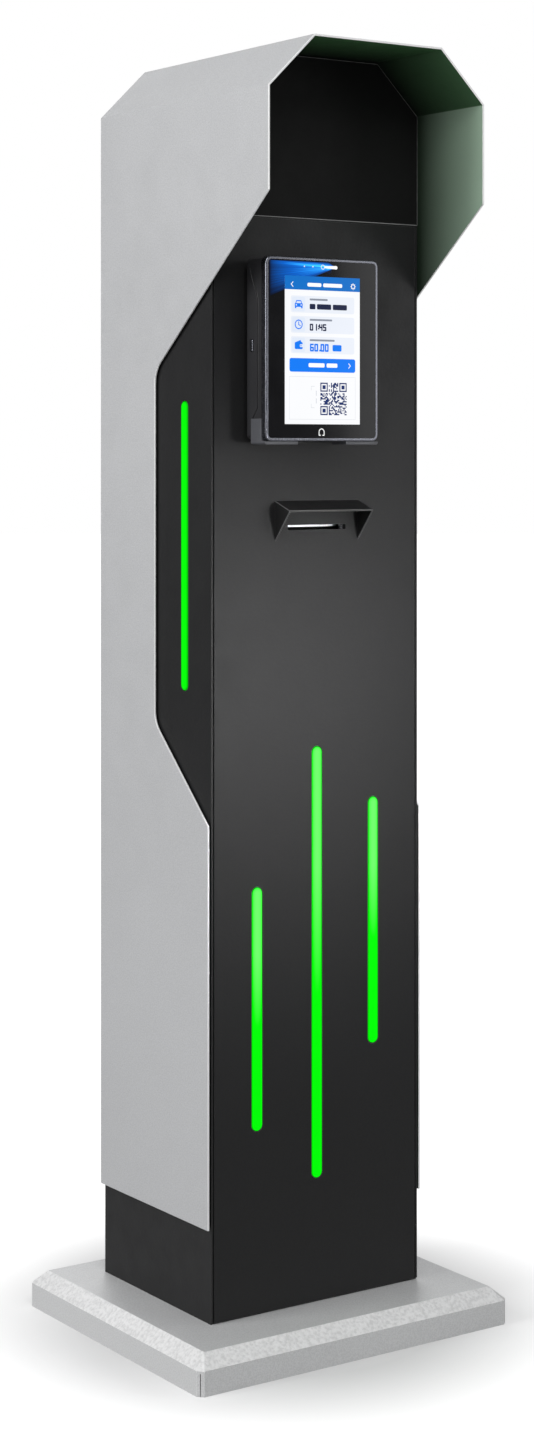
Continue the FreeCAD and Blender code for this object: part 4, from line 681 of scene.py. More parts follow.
def link_piece(name: str, mesh: bpy.types.Mesh, finishes: Iterable[object], body: str,
               hides: Sequence[str] = ()) -> bpy.types.Object:
    """Puts a finished mesh into the scene on its body.

    Args:
        name: The piece's name.
        mesh: Its mesh, in place.
        finishes: Its finishes, in the order of the mesh's material indices.
        body: Body that it rides on.
        hides: Frame nodes that it stands for.

    Returns:
        The new object.
    """
    shown = [face.material_index for face in mesh.polygons]
    mesh.materials.clear()
    for finish in finishes:
        mesh.materials.append(SHELF.get(finish))
    mesh.polygons.foreach_set("material_index", shown)
    piece = bpy.data.objects.new(name, mesh)
    bpy.context.scene.collection.objects.link(piece)
    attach(piece, body)
    if hides:
        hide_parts(*hides)
    log.info("%s: %d faces on %s", name, len(mesh.polygons), body)
    return piece


def node_body(node: str) -> str:
    """The body that a frame node rides on."""
    return frame["nodes"][node]["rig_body"]


def node_slot(node: str) -> str:
    """The record's material slot of a frame node."""
    return next(part["material_slot"] for part in frame["record"]["subparts"] if part["node"] == node)


def settle_normals(mesh: bpy.types.Mesh, spread: float = 50.0) -> None:
    """Weights each corner's normal by face size, so that flat faces stay flat beside rounded edges.

    Args:
        mesh: The mesh to shade.
        spread: Largest angle in degrees between faces that share a normal.
    """
    around: dict[int, list[bpy.types.MeshPolygon]] = {}
    for face in mesh.polygons:
        for corner in face.vertices:
            around.setdefault(corner, []).append(face)
    limit = math.cos(math.radians(spread))
    normals = []
    for face in mesh.polygons:
        own = face.normal
        for corner in face.vertices:
            total = Vector((0.0, 0.0, 0.0))
            for other in around[corner]:
                if own.dot(other.normal) > limit:
                    total += other.normal * other.area
            normals.append(tuple(total.normalized() if total.length > 1e-14 else own))
    mesh.normals_split_custom_set(normals)


@dataclass
class SoftEdged:
    """A frame part remade with small rounded edges, as folded or moulded parts have."""

    node: str
    width: float
    finish: object | None = None
    segments: int = 2
    angle: float = 28.0

    def build(self) -> bpy.types.Object:
        """Copies the node's mesh, merges it and rounds its sharp edges.

        Returns:
            The new piece, which stands for the node.
        """
        source = frame["nodes"][self.node]
        mesh = source.data.copy()
        mesh.name = self.node + "_soft"
        work = bmesh.new()
        work.from_mesh(mesh)
        bmesh.ops.remove_doubles(work, verts=work.verts, dist=1e-6)
        bmesh.ops.dissolve_limit(work, angle_limit=math.radians(0.6), verts=work.verts, edges=work.edges)
        limit = math.radians(self.angle)
        sharp = [edge for edge in work.edges if edge.is_manifold and edge.calc_face_angle(0.0) > limit]
        # flags the rounded faces, which the paints lighten partly as wear and partly as painted highlight
        edge_layer = work.faces.layers.float.new("edge")
        rounded = bmesh.ops.bevel(work, geom=sharp, offset=self.width, segments=self.segments, profile=0.5,
                                  affect="EDGES", clamp_overlap=True, loop_slide=True)
        for face in rounded["faces"]:
            face[edge_layer] = 1.0
        bmesh.ops.remove_doubles(work, verts=work.verts, dist=1e-7)
        bmesh.ops.triangulate(work, faces=[face for face in work.faces if len(face.verts) > 4])
        for face in work.faces:
            face.smooth = True
            face.material_index = 0
        work.to_mesh(mesh)
        work.free()
        settle_normals(mesh)
        slot = node_slot(self.node)
        finish = self.finish or SLOT_FINISHES[slot]
        return link_piece(self.node + "_finished", mesh, [finish], node_body(self.node), [self.node])


def dress_frame(hidden: set[str]) -> None:
    """Gives every frame node that still shows its procedural material.

    Args:
        hidden: Nodes that a finished piece stands for.
    """
    for name, thing in frame["nodes"].items():
        if name in hidden:
            continue
        material = SHELF.get(SLOT_FINISHES[node_slot(name)])
        if not thing.material_slots:
            thing.data.materials.append(material)
        for entry in thing.material_slots:
            entry.link = "DATA"
            entry.material = material


# ---------------------------------------------------------------- geometry-node pieces


class PointTree(Wiring):
    """A node tree that puts copies of a small shape on the points of a mesh."""

    def __init__(self, name: str, finish: object) -> None:
        """Starts the tree.

        Args:
            name: The tree's name.
            finish: Finish of every copy.
        """
        self.tree = bpy.data.node_groups.new(name, "GeometryNodeTree")
        self.tree.interface.new_socket("Geometry", in_out="INPUT", socket_type="NodeSocketGeometry")
        self.tree.interface.new_socket("Geometry", in_out="OUTPUT", socket_type="NodeSocketGeometry")
        self.entry = self.tree.nodes.new("NodeGroupInput")
        self.exit = self.tree.nodes.new("NodeGroupOutput")
        self.finish = finish
        self.sockets: dict[str, str] = {}

    def number(self, name: str, value: float) -> None:
        """Adds a named size to the tree's inputs.

        Args:
            name: Input's name.
            value: Its default.
        """
        socket = self.tree.interface.new_socket(name, in_out="INPUT", socket_type="NodeSocketFloat")
        socket.default_value = value
        self.sockets[name] = socket.identifier

    def whole(self, name: str, value: int) -> None:
        """Adds a named count or seed to the tree's inputs.

        Args:
            name: Input's name.
            value: Its default.
        """
        socket = self.tree.interface.new_socket(name, in_out="INPUT", socket_type="NodeSocketInt")
        socket.default_value = value
        self.sockets[name] = socket.identifier

    def add(self, kind: str, **settings: object) -> bpy.types.Node:
        """Adds a node and sets its properties."""
        node = self.tree.nodes.new(kind)
        for name, value in settings.items():
            setattr(node, name, value)
        return node

    def finish_with(self, source: bpy.types.Node, output: str | int) -> None:
        """Ends the tree in real, painted geometry.

        Args:
            source: Node whose geometry ends the tree.
            output: Its socket.
        """
        real = self.add("GeometryNodeRealizeInstances")
        paint = self.add("GeometryNodeSetMaterial")
        paint.inputs["Material"].default_value = SHELF.get(self.finish)
        self.link(source, output, real, "Geometry")
        self.link(real, "Geometry", paint, "Geometry")
        self.link(paint, "Geometry", self.exit, 0)

    def bake(self, name: str, base: bpy.types.Mesh, values: dict[str, float], body: str,
             slot: str) -> bpy.types.Object:
        """Runs the tree on a mesh of points and keeps the result as a plain piece.

        Args:
            name: The new piece's name.
            base: Mesh whose points carry the copies.
            values: Input values by name.
            body: Body that the piece rides on.
            slot: Material slot of the record; not used.

        Returns:
            The finished piece.
        """
        carrier = bpy.data.objects.new(name + "_points", base)
        bpy.context.scene.collection.objects.link(carrier)
        modifier = carrier.modifiers.new("Copies", "NODES")
        modifier.node_group = self.tree
        for label, value in values.items():
            modifier[self.sockets[label]] = value
        bpy.context.view_layer.update()
        graph = bpy.context.evaluated_depsgraph_get()
        mesh = bpy.data.meshes.new_from_object(carrier.evaluated_get(graph))
        mesh.name = name
        carrier.modifiers.remove(modifier)
        bpy.data.objects.remove(carrier)
        return link_piece(name, mesh, [self.finish], body)


def points_mesh(name: str, places: Sequence[Vector]) -> bpy.types.Mesh:
    """A mesh of loose points."""
    mesh = bpy.data.meshes.new(name)
    mesh.from_pydata([tuple(place) for place in places], [], [])
    return mesh


@dataclass
class ButtonScrews:
    """Pan-head tamper screws with a six-sided socket, all facing one way."""

    name: str
    places: list[Vector]
    facing: Vector
    body: str
    radius: float = 0.0035
    rise: float = 0.0018
    finish: object = ZINC
    slot: str = "zinc_steel"

    def build(self) -> bpy.types.Object:
        """Instances one turned head on every place.

        Returns:
            The finished piece.
        """
        tree = PointTree(self.name + "_tree", self.finish)
        tree.number("Radius", self.radius)
        tree.number("Rise", self.rise)
        ball = tree.add("GeometryNodeMeshUVSphere")
        ball.inputs["Segments"].default_value = 20
        ball.inputs["Rings"].default_value = 10
        tree.link(tree.entry, "Radius", ball, "Radius")
        squash = tree.add("GeometryNodeTransform")
        scale = tree.add("ShaderNodeCombineXYZ")
        ratio = tree.add("ShaderNodeMath", operation="DIVIDE")
        tree.link(tree.entry, "Rise", ratio, 0)
        tree.link(tree.entry, "Radius", ratio, 1)
        scale.inputs["X"].default_value = 1.0
        scale.inputs["Y"].default_value = 1.0
        tree.link(ratio, 0, scale, "Z")
        tree.link(ball, "Mesh", squash, "Geometry")
        tree.link(scale, "Vector", squash, "Scale")
        socket = tree.add("GeometryNodeMeshCylinder")
        socket.inputs["Vertices"].default_value = 6
        socket.inputs["Depth"].default_value = 0.004
        half = tree.add("ShaderNodeMath", operation="MULTIPLY")
        half.inputs[1].default_value = 0.42
        tree.link(tree.entry, "Radius", half, 0)
        tree.link(half, 0, socket, "Radius")
        lift = tree.add("GeometryNodeTransform")
        height = tree.add("ShaderNodeCombineXYZ")
        raised = tree.add("ShaderNodeMath", operation="MULTIPLY_ADD")
        raised.inputs[1].default_value = 0.45
        raised.inputs[2].default_value = 0.002
        tree.link(tree.entry, "Rise", raised, 0)
        tree.link(raised, 0, height, "Z")
        tree.link(socket, "Mesh", lift, "Geometry")
        tree.link(height, "Vector", lift, "Translation")
        carve = tree.add("GeometryNodeMeshBoolean", operation="DIFFERENCE", solver="EXACT")
        tree.link(squash, "Geometry", carve, "Mesh 1")
        tree.link(lift, "Geometry", carve, "Mesh 2")
        spread = tree.add("GeometryNodeInstanceOnPoints")
        spread.inputs["Rotation"].default_value = self.facing.to_track_quat("Z", "Y").to_euler()
        tree.link(tree.entry, 0, spread, "Points")
        tree.link(carve, "Mesh", spread, "Instance")
        tree.finish_with(spread, "Instances")
        values = {"Radius": self.radius, "Rise": self.rise}
        base = points_mesh(self.name + "_base", self.places)
        return tree.bake(self.name, base, values, self.body, self.slot)


@dataclass
class PressedLouvres:
    """Rows of small hooded louvres pressed out of a sheet that faces the back."""

    name: str
    centre: Vector
    length: float
    count: int
    pitch: float
    body: str
    rise: float = 0.0045
    height: float = 0.008
    finish: object = BLACK
    slot: str = "black_coat"

    def build(self) -> bpy.types.Object:
        """Instances one louvre up a column of points.

        Returns:
            The finished piece.
        """
        tree = PointTree(self.name + "_tree", self.finish)
        tree.number("Length", self.length)
        tree.number("Rise", self.rise)
        tree.number("Height", self.height)
        ball = tree.add("GeometryNodeMeshUVSphere")
        ball.inputs["Segments"].default_value = 32
        ball.inputs["Rings"].default_value = 12
        ball.inputs["Radius"].default_value = 1.0
        scale = tree.add("ShaderNodeCombineXYZ")
        half = tree.add("ShaderNodeMath", operation="MULTIPLY")
        half.inputs[1].default_value = 0.5
        tree.link(tree.entry, "Length", half, 0)
        tree.link(half, 0, scale, "X")
        tree.link(tree.entry, "Rise", scale, "Y")
        tree.link(tree.entry, "Height", scale, "Z")
        shape = tree.add("GeometryNodeTransform")
        tree.link(ball, "Mesh", shape, "Geometry")
        tree.link(scale, "Vector", shape, "Scale")
        keep = tree.add("GeometryNodeMeshCube")
        keep.inputs["Size"].default_value = (1.0, 0.1, 0.1)
        move = tree.add("GeometryNodeTransform")
        move.inputs["Translation"].default_value = (0.0, 0.05, 0.05)
        tree.link(keep, "Mesh", move, "Geometry")
        carve = tree.add("GeometryNodeMeshBoolean", operation="INTERSECT", solver="EXACT")
        tree.link(shape, "Geometry", carve, "Mesh 2")
        tree.link(move, "Geometry", carve, "Mesh 2")
        spread = tree.add("GeometryNodeInstanceOnPoints")
        tree.link(tree.entry, 0, spread, "Points")
        tree.link(carve, "Mesh", spread, "Instance")
        tree.finish_with(spread, "Instances")
        places = [self.centre + Vector((0, 0, self.pitch * (row - (self.count - 1) / 2)))
                  for row in range(self.count)]
        values = {"Length": self.length, "Rise": self.rise, "Height": self.height}
        return tree.bake(self.name, points_mesh(self.name + "_base", places), values, self.body, self.slot)


# ---------------------------------------------------------------- light strips


@dataclass
class LightStrip:
    """A domed stadium lens with its heart marked for the light."""

    across: float
    low: float
    high: float
    width: float
    face: float
    depth: float
    outward: Vector
    sideways: Vector
    glow: float = 1.0

    def rings(self) -> list[tuple[float, float, float]]:
        """Inset, height above the edge and heart value of each ring, from the back edge to the crown."""
        crown = 0.0009
        steps = [(0.0, -self.depth, 0.0), (0.0, 0.0, 0.05)]
        for step in range(1, 9):
            turn = step / 8 * math.pi / 2
            inset = self.width / 2 * (1 - math.cos(turn)) * 0.98
            steps.append((inset, crown * math.sin(turn), math.sin(turn) * self.glow))
        return steps

    def add_to(self, work: bmesh.types.BMesh) -> None:
        """Adds the lens to a mesh.

        Args:
            work: Mesh with vertex layers heart and rise.
        """
        heart_layer = work.verts.layers.float["heart"]
        rise_layer = work.verts.layers.float["rise"]
        corners = 20
        loops = []
        for inset, height, heart in self.rings():
            radius = self.width / 2 - inset
            loop = []
            for step in range(corners * 2):
                upper = step < corners
                turn = math.pi * (step % corners) / (corners - 1) + (0 if upper else math.pi)
                end = self.high - self.width / 2 if upper else self.low + self.width / 2
                side = self.across + radius * math.cos(turn)
                up = end + radius * math.sin(turn)
                place = self.sideways * side + Vector((0, 0, up)) + self.outward * (self.face + height)
                vertex = work.verts.new(place)
                vertex[heart_layer] = heart
                vertex[rise_layer] = (up - self.low) / (self.high - self.low)
                loop.append(vertex)
            loops.append(loop)
        for inner, outer in zip(loops[1:], loops):
            for step in range(len(inner)):
                following = (step + 1) % len(inner)
                work.faces.new((outer[step], outer[following], inner[following], inner[step])).smooth = True
        work.faces.new(loops[-1]).smooth = True
        work.faces.new(list(reversed(loops[0])))


@dataclass
class LightStrips:
    """All five lit strips, read from the frame's lenses."""

    width: float = 0.014
    depth: float = 0.0025

    def lens_spans(self, node: str, axis: int) -> list[tuple[float, float, float]]:
        """Middle, low and high of each separate lens in a node.

        Args:
            node: Frame node that holds the lenses.
            axis: 0 to sort lenses by X, or 1 by the side that they are on.

        Returns:
            One entry for each lens.
        """
        vertices = frame["nodes"][node].data.vertices
        places = sorted((vertex.co for vertex in vertices), key=lambda place: place.x)
        merged: list[list[Vector]] = []
        for place in places:
            if merged and place.x - merged[-1][-1].x < self.width * 2:
                merged[-1].append(place)
            else:
                merged.append([place])
        flange = 0.004
        spans = []
        for places in merged:
            middle = (min(place[axis] for place in places) + max(place[axis] for place in places)) / 2
            spans.append((middle, min(place.z for place in places) + flange,
                          max(place.z for place in places) - flange))
        return spans

    def build(self) -> list[bpy.types.Object]:
        """Builds the front and the side lenses.

        Returns:
            The two finished pieces.
        """
        made = []
        face_low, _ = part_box("front_lights")
        crown = 0.0009
        work = self.new_mesh()
        for middle, low, high in self.lens_spans("front_lights", 0):
            strip = LightStrip(middle, low, high, self.width, -face_low.y - crown, self.depth,
                               Vector((0, -1, 0)), Vector((1, 0, 0)))
            strip.add_to(work)
        made.append(self.finish(work, "front_light_lenses", "front_lights"))
        work = self.new_mesh()
        low_corner, high_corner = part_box("side_lights")
        middle = (low_corner.y + high_corner.y) / 2
        left_wall = (Vector((-1, 0, 0)), Vector((0, -1, 0)))
        right_wall = (Vector((1, 0, 0)), Vector((0, 1, 0)))
        for outward, sideways in (left_wall, right_wall):
            strip = LightStrip(middle * sideways.y, low_corner.z + 0.004, high_corner.z - 0.004, self.width,
                               high_corner.x - crown, self.depth, outward, sideways, 0.25)
            strip.add_to(work)
        made.append(self.finish(work, "side_light_lenses", "side_lights"))
        return made

    def new_mesh(self) -> bmesh.types.BMesh:
        """An empty mesh with the lens layers."""
        work = bmesh.new()
        work.verts.layers.float.new("heart")
        work.verts.layers.float.new("rise")
        return work

    def finish(self, work: bmesh.types.BMesh, name: str, node: str) -> bpy.types.Object:
        """Turns the mesh into a piece that stands for a node."""
        bmesh.ops.recalc_face_normals(work, faces=work.faces)
        mesh = bpy.data.meshes.new(name)
        work.to_mesh(mesh)
        work.free()
        return link_piece(name, mesh, [GREEN_LENS], node_body(node), [node])


# ---------------------------------------------------------------- terminal screen


class Ink(Enum):
    """The screen's colours."""

    PAGE = LitInk("ink_page", (0.97, 0.98, 1.0), 1.0)
    CARD = LitInk("ink_card", (0.86, 0.9, 0.98), 0.99)
    CHIP = LitInk("ink_chip", (0.79, 0.86, 0.98), 0.99)
    HEADER = LitInk("ink_header", (0.0, 0.17, 0.62), 0.95)
    BUTTON = LitInk("ink_button", (0.0, 0.2, 0.95), 1.0)
    DARK = LitInk("ink_dark", (0.008, 0.015, 0.06), 0.9)
    GREY = LitInk("ink_grey", (0.3, 0.33, 0.4), 0.9)
    FAINT = LitInk("ink_faint", (0.72, 0.75, 0.8), 0.95)
    WHITE = LitInk("ink_white", (1.0, 1.0, 1.0), 1.05)
    NAVY = LitInk("ink_navy", (0.008, 0.03, 0.16), 0.9)


@dataclass
class ScreenPainter:
    """Lays flat lit shapes on the glass, in millimetres from the image's upper left corner."""

    left: float
    top: float
    face: float
    work: bmesh.types.BMesh = field(default_factory=bmesh.new)
    inks: list[Ink] = field(default_factory=list)

    def shape(self, outline: Sequence[Point], ink: Ink, layer: int) -> None:
        """Adds one filled outline.

        Args:
            outline: Corners, in millimetres right and down.
            ink: Its colour.
            layer: Height in the stack, from 0 at the glass.
        """
        if ink not in self.inks:
            self.inks.append(ink)
        depth = self.face - (layer + 1) * 0.00003
        corners = [self.work.verts.new((self.left + right * MM, depth, self.top - down * MM))
                   for right, down in outline]
        face = self.work.faces.new(corners)
        face.material_index = self.inks.index(ink)
        face.normal_update()
        if face.normal.y > 0:
            face.normal_flip()

    def rounded(self, left: float, top: float, right: float, bottom: float, radius: float, ink: Ink,
                layer: int) -> None:
        """Adds a rectangle with round corners.

        Args:
            left: Left edge.
            top: Top edge, measured down.
            right: Right edge.
            bottom: Bottom edge, measured down.
            radius: Radius of the corners.
            ink: Colour.
            layer: Place in the stack.
        """
        outline = []
        near, far = left + radius, right - radius
        high, low = top + radius, bottom - radius
        turns = ((far, high, -90), (far, low, 0), (near, low, 90), (near, high, 180))
        for centre_x, centre_y, start in turns:
            for step in range(6):
                turn = math.radians(start + step * 18)
                outline.append((centre_x + radius * math.cos(turn), centre_y + radius * math.sin(turn)))
        self.shape(outline, ink, layer)

    def disc(self, right: float, down: float, radius: float, ink: Ink, layer: int, corners: int = 28) -> None:
        """Adds a round spot."""
        turns = [2 * math.pi * step / corners for step in range(corners)]
        outline = [(right + radius * math.cos(turn), down + radius * math.sin(turn)) for turn in turns]
        self.shape(outline, ink, layer)

    def stroke(self, points: Sequence[Point], width: float, ink: Ink, layer: int) -> None:
        """Adds a line of straight bars with round joints.

        Args:
            points: Places along the line.
            width: Width of the line.
            ink: Colour.
            layer: Place in the stack.
        """
        for start, end in zip(points, points[1:]):
            run = Vector(end) - Vector(start)
            side = Vector((-run.y, run.x)).normalized() * width / 2
            corners = [Vector(start) + side, Vector(end) + side, Vector(end) - side, Vector(start) - side]
            self.shape([tuple(corner) for corner in corners], ink, layer)
        for point in points:
            self.disc(point[0], point[1], width / 2, ink, layer, 12)

    def ring(self, right: float, down: float, radius: float, width: float, ink: Ink, layer: int,
             start: float = 0.0, end: float = 360.0) -> None:
        """Adds a round line, whole or part of a turn.

        Args:
            right: Centre across.
            down: Centre down.
            radius: Radius to the middle of the line.
            width: Width of the line.
            ink: Colour.
            layer: Place in the stack.
            start: First angle, in degrees.
            end: Last angle, in degrees.
        """
        steps = 28
        points = []
        for step in range(steps + 1):
            turn = math.radians(start + (end - start) * step / steps)
            points.append((right + radius * math.cos(turn), down + radius * math.sin(turn)))
        for first, second in zip(points, points[1:]):
            run = Vector(second) - Vector(first)
            side = Vector((-run.y, run.x)).normalized() * width / 2
            near, far = Vector(first), Vector(second)
            corners = (near + side, far + side, far - side, near - side)
            self.shape([tuple(corner) for corner in corners], ink, layer)

    def digits(self, text: str, left: float, down: float, height: float, ink: Ink, layer: int) -> None:
        """Adds plain seven-bar figures.

        Args:
            text: Figures, colons and commas.
            left: Left edge.
            down: Middle height.
            height: Height of a figure.
            ink: Colour.
            layer: Place in the stack.
        """
        bars = {"0": "abcdef", "1": "bc", "2": "abged", "3": "abgcd", "4": "fgbc", "5": "afgcd",
                "6": "afgedc", "7": "abc", "8": "abcdefg", "9": "abcdfg"}
        width = height * 0.5
        pen = height * 0.27
        spots = {"a": ((0, 0), (1, 0)), "b": ((1, 0), (1, 1)), "c": ((1, 1), (1, 2)), "d": ((0, 2), (1, 2)),
                 "e": ((0, 1), (0, 2)), "f": ((0, 0), (0, 1)), "g": ((0, 1), (1, 1))}
        at = left
        for letter in text:
            if letter in ":,":
                drops = (-0.22, 0.22) if letter == ":" else (0.45,)
                for drop in drops:
                    self.disc(at + pen / 2, down + drop * height, pen * 0.62, ink, layer, 12)
                at += height * 0.36
                continue
            for bar in bars[letter]:
                ends = [(at + column * width, down + (row - 1) * height / 2) for column, row in spots[bar]]
                self.stroke(ends, pen, ink, layer)
            at += width + height * 0.36

    def finish(self, name: str, body: str, slot: str) -> bpy.types.Object:
        """Ends the drawing as one piece."""
        mesh = bpy.data.meshes.new(name)
        self.work.to_mesh(mesh)
        self.work.free()
        return link_piece(name, mesh, [ink.value for ink in self.inks], body)


@dataclass
class TerminalScreen:
    """The payment page shown on the terminal, with bars in place of words."""

    width: float = 107.6
    height: float = 172.2
    top_margin: float = 22.0
    card_tops: tuple[float, ...] = (22.9, 46.6, 70.3)
    card_height: float = 19.6
    code_left: float = 50.5
    code_top: float = 123.5
    code_side: float = 38.0
    code_cells: int = 25

    def corner(self) -> tuple[float, float, float]:
        """Left, top and depth of the image in metres."""
        low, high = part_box("terminal_rim")
        glass_low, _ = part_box("terminal_glass")
        middle = (low.x + high.x) / 2
        return middle - self.width / 2 * MM, high.z - self.top_margin * MM, glass_low.y

    def build(self) -> list[bpy.types.Object]:
        """Paints the page, the marks on the glass, the code and the light fan.

        Returns:
            The finished pieces.
        """
        left, top, face = self.corner()
        painter = ScreenPainter(left, top, face)
        self.page(painter)
        self.cards(painter)
        self.pay_button(painter)
        self.code_frame(painter)
        self.glass_marks(painter)
        page = painter.finish("terminal_screen_image", "column", "lit_display")
        return [page, self.code(left, top, face), self.light_fan(left, top, face)]

    def page(self, painter: ScreenPainter) -> None:
        """White page with its blue header.

        Args:
            painter: Where the marks go.
        """
        painter.shape([(0, 0), (self.width, 0), (self.width, self.height), (0, self.height)], Ink.PAGE, 0)
        painter.shape([(0, 0), (self.width, 0), (self.width, 16), (0, 16)], Ink.HEADER, 1)
        painter.stroke([(11.6, 7.2), (9.0, 9.9), (11.6, 12.6)], 0.9, Ink.WHITE, 2)
        painter.rounded(32, 7.6, 52, 11.9, 1.6, Ink.WHITE, 2)
        painter.rounded(54.5, 7.6, 82, 11.9, 1.6, Ink.WHITE, 2)
        painter.ring(97.8, 9.9, 2.3, 0.9, Ink.WHITE, 2)
        for tooth in range(8):
            turn = math.radians(45 * tooth)
            inner, outer = 2.6, 3.5
            painter.stroke([(97.8 + inner * math.cos(turn), 9.9 + inner * math.sin(turn)),
                            (97.8 + outer * math.cos(turn), 9.9 + outer * math.sin(turn))], 0.9, Ink.WHITE, 2)

    def cards(self, painter: ScreenPainter) -> None:
        """Three cards: vehicle, time and amount.

        Args:
            painter: Where the marks go.
        """
        for top in self.card_tops:
            painter.rounded(8.5, top, 99.5, top + self.card_height, 2.4, Ink.CARD, 1)
            painter.rounded(10.3, top + 1.4, 28.8, top + self.card_height - 1.4, 2.2, Ink.CHIP, 2)
        first, second, third = (top + self.card_height / 2 for top in self.card_tops)
        self.car(painter, 19.6, first)
        painter.ring(19.6, second, 5.0, 1.3, Ink.BUTTON, 3)
        painter.stroke([(19.6, second - 3.0), (19.6, second + 0.3), (22.0, second + 1.4)], 1.1, Ink.BUTTON, 3)
        self.wallet(painter, 19.6, third)
        for middle, end in ((first, 61.0), (second, 67.5), (third, 71.0)):
            painter.rounded(35.2, middle - 6.9, end, middle - 4.7, 1.0, Ink.GREY, 3)
        for start, end in ((35.2, 43.4), (45.6, 66.0), (68.4, 88.8)):
            painter.rounded(start, first - 0.7, end, first + 5.6, 1.3, Ink.DARK, 3)
        painter.digits("01:45", 36.2, second + 2.8, 6.4, Ink.DARK, 3)
        painter.digits("60,00", 36.6, third + 2.8, 7.2, Ink.BUTTON, 3)
        painter.rounded(68.0, third - 0.9, 81.0, third + 6.6, 1.4, Ink.BUTTON, 3)

    def car(self, painter: ScreenPainter, across: float, down: float) -> None:
        """A car seen from the front.

        Args:
            painter: Where the marks go.
            across: Centre across.
            down: Centre down.
        """
        painter.shape([(across - 3.4, down - 4.4), (across + 3.4, down - 4.4), (across + 4.9, down - 0.6),
                       (across - 4.9, down - 0.6)], Ink.BUTTON, 3)
        painter.rounded(across - 5.6, down - 1.2, across + 5.6, down + 3.4, 1.2, Ink.BUTTON, 4)
        painter.shape([(across - 2.7, down - 3.2), (across + 2.7, down - 3.2), (across + 3.5, down - 1.0),
                       (across - 3.5, down - 1.0)], Ink.CHIP, 5)
        for side in (-1, 1):
            painter.rounded(across + side * 4.4 - 1.0, down + 2.6, across + side * 4.4 + 1.0, down + 5.0, 0.5,
                            Ink.BUTTON, 4)
            painter.disc(across + side * 3.4, down + 1.1, 0.9, Ink.CHIP, 5, 14)

    def wallet(self, painter: ScreenPainter, across: float, down: float) -> None:
        """A closed wallet."""
        painter.rounded(across - 5.6, down - 3.2, across + 5.6, down + 5.0, 1.4, Ink.BUTTON, 3)
        painter.shape([(across - 4.8, down - 3.0), (across + 2.6, down - 5.6), (across + 4.0, down - 3.0)],
                      Ink.BUTTON, 4)
        painter.rounded(across + 1.6, down - 0.8, across + 6.0, down + 2.6, 1.0, Ink.CHIP, 5)
        painter.disc(across + 3.2, down + 0.9, 0.8, Ink.BUTTON, 6, 14)

    def pay_button(self, painter: ScreenPainter) -> None:
        """The wide blue button with its arrow."""
        painter.rounded(6.6, 95.5, 101.0, 111.4, 2.6, Ink.BUTTON, 1)
        painter.rounded(33.7, 101.0, 56.5, 105.8, 1.4, Ink.WHITE, 2)
        painter.rounded(59.5, 101.0, 75.0, 105.8, 1.4, Ink.WHITE, 2)
        painter.stroke([(91.4, 100.8), (93.9, 103.4), (91.4, 106.0)], 0.9, Ink.WHITE, 2)

    def code_frame(self, painter: ScreenPainter) -> None:
        """Faint box and corner brackets beside the code.

        Args:
            painter: Where the marks go.
        """
        left, right, top, bottom = 6.6, 101.0, 117.0, 166.5
        for start, end in (((left, top), (right, top)), ((right, top), (right, bottom)),
                           ((right, bottom), (left, bottom)), ((left, bottom), (left, top))):
            painter.stroke([start, end], 0.35, Ink.FAINT, 1)
        for corner_down, way in ((128.0, 1), (153.0, -1)):
            painter.stroke([(42.0, corner_down), (37.5, corner_down), (37.5, corner_down + 4.5 * way)], 0.5,
                           Ink.FAINT, 1)
        painter.rounded(44.2, 133.0, 45.2, 139.0, 0.4, Ink.FAINT, 1)
        painter.rounded(44.2, 142.0, 45.2, 148.0, 0.4, Ink.FAINT, 1)

    def glass_marks(self, painter: ScreenPainter) -> None:
        """Sensor windows, camera ring and the touch key on the dark glass.

        Args:
            painter: Where the marks go.
        """
        for across in (27.7, 39.9):
            painter.disc(across, -11.4, 0.9, Ink.CHIP, 1, 16)
        painter.ring(54.2, -11.4, 2.4, 1.0, Ink.CHIP, 1)
        key_across, key_down = self.width / 2 - 1.5, self.height + 9.6
        painter.ring(key_across, key_down - 0.6, 3.6, 1.1, Ink.WHITE, 1, 180, 360)
        painter.stroke([(key_across - 3.6, key_down - 0.6), (key_across - 3.6, key_down + 3.2),
                        (key_across - 1.6, key_down + 3.2)], 1.1, Ink.WHITE, 1)
        painter.stroke([(key_across + 3.6, key_down - 0.6), (key_across + 3.6, key_down + 3.2),
                        (key_across + 1.6, key_down + 3.2)], 1.1, Ink.WHITE, 1)

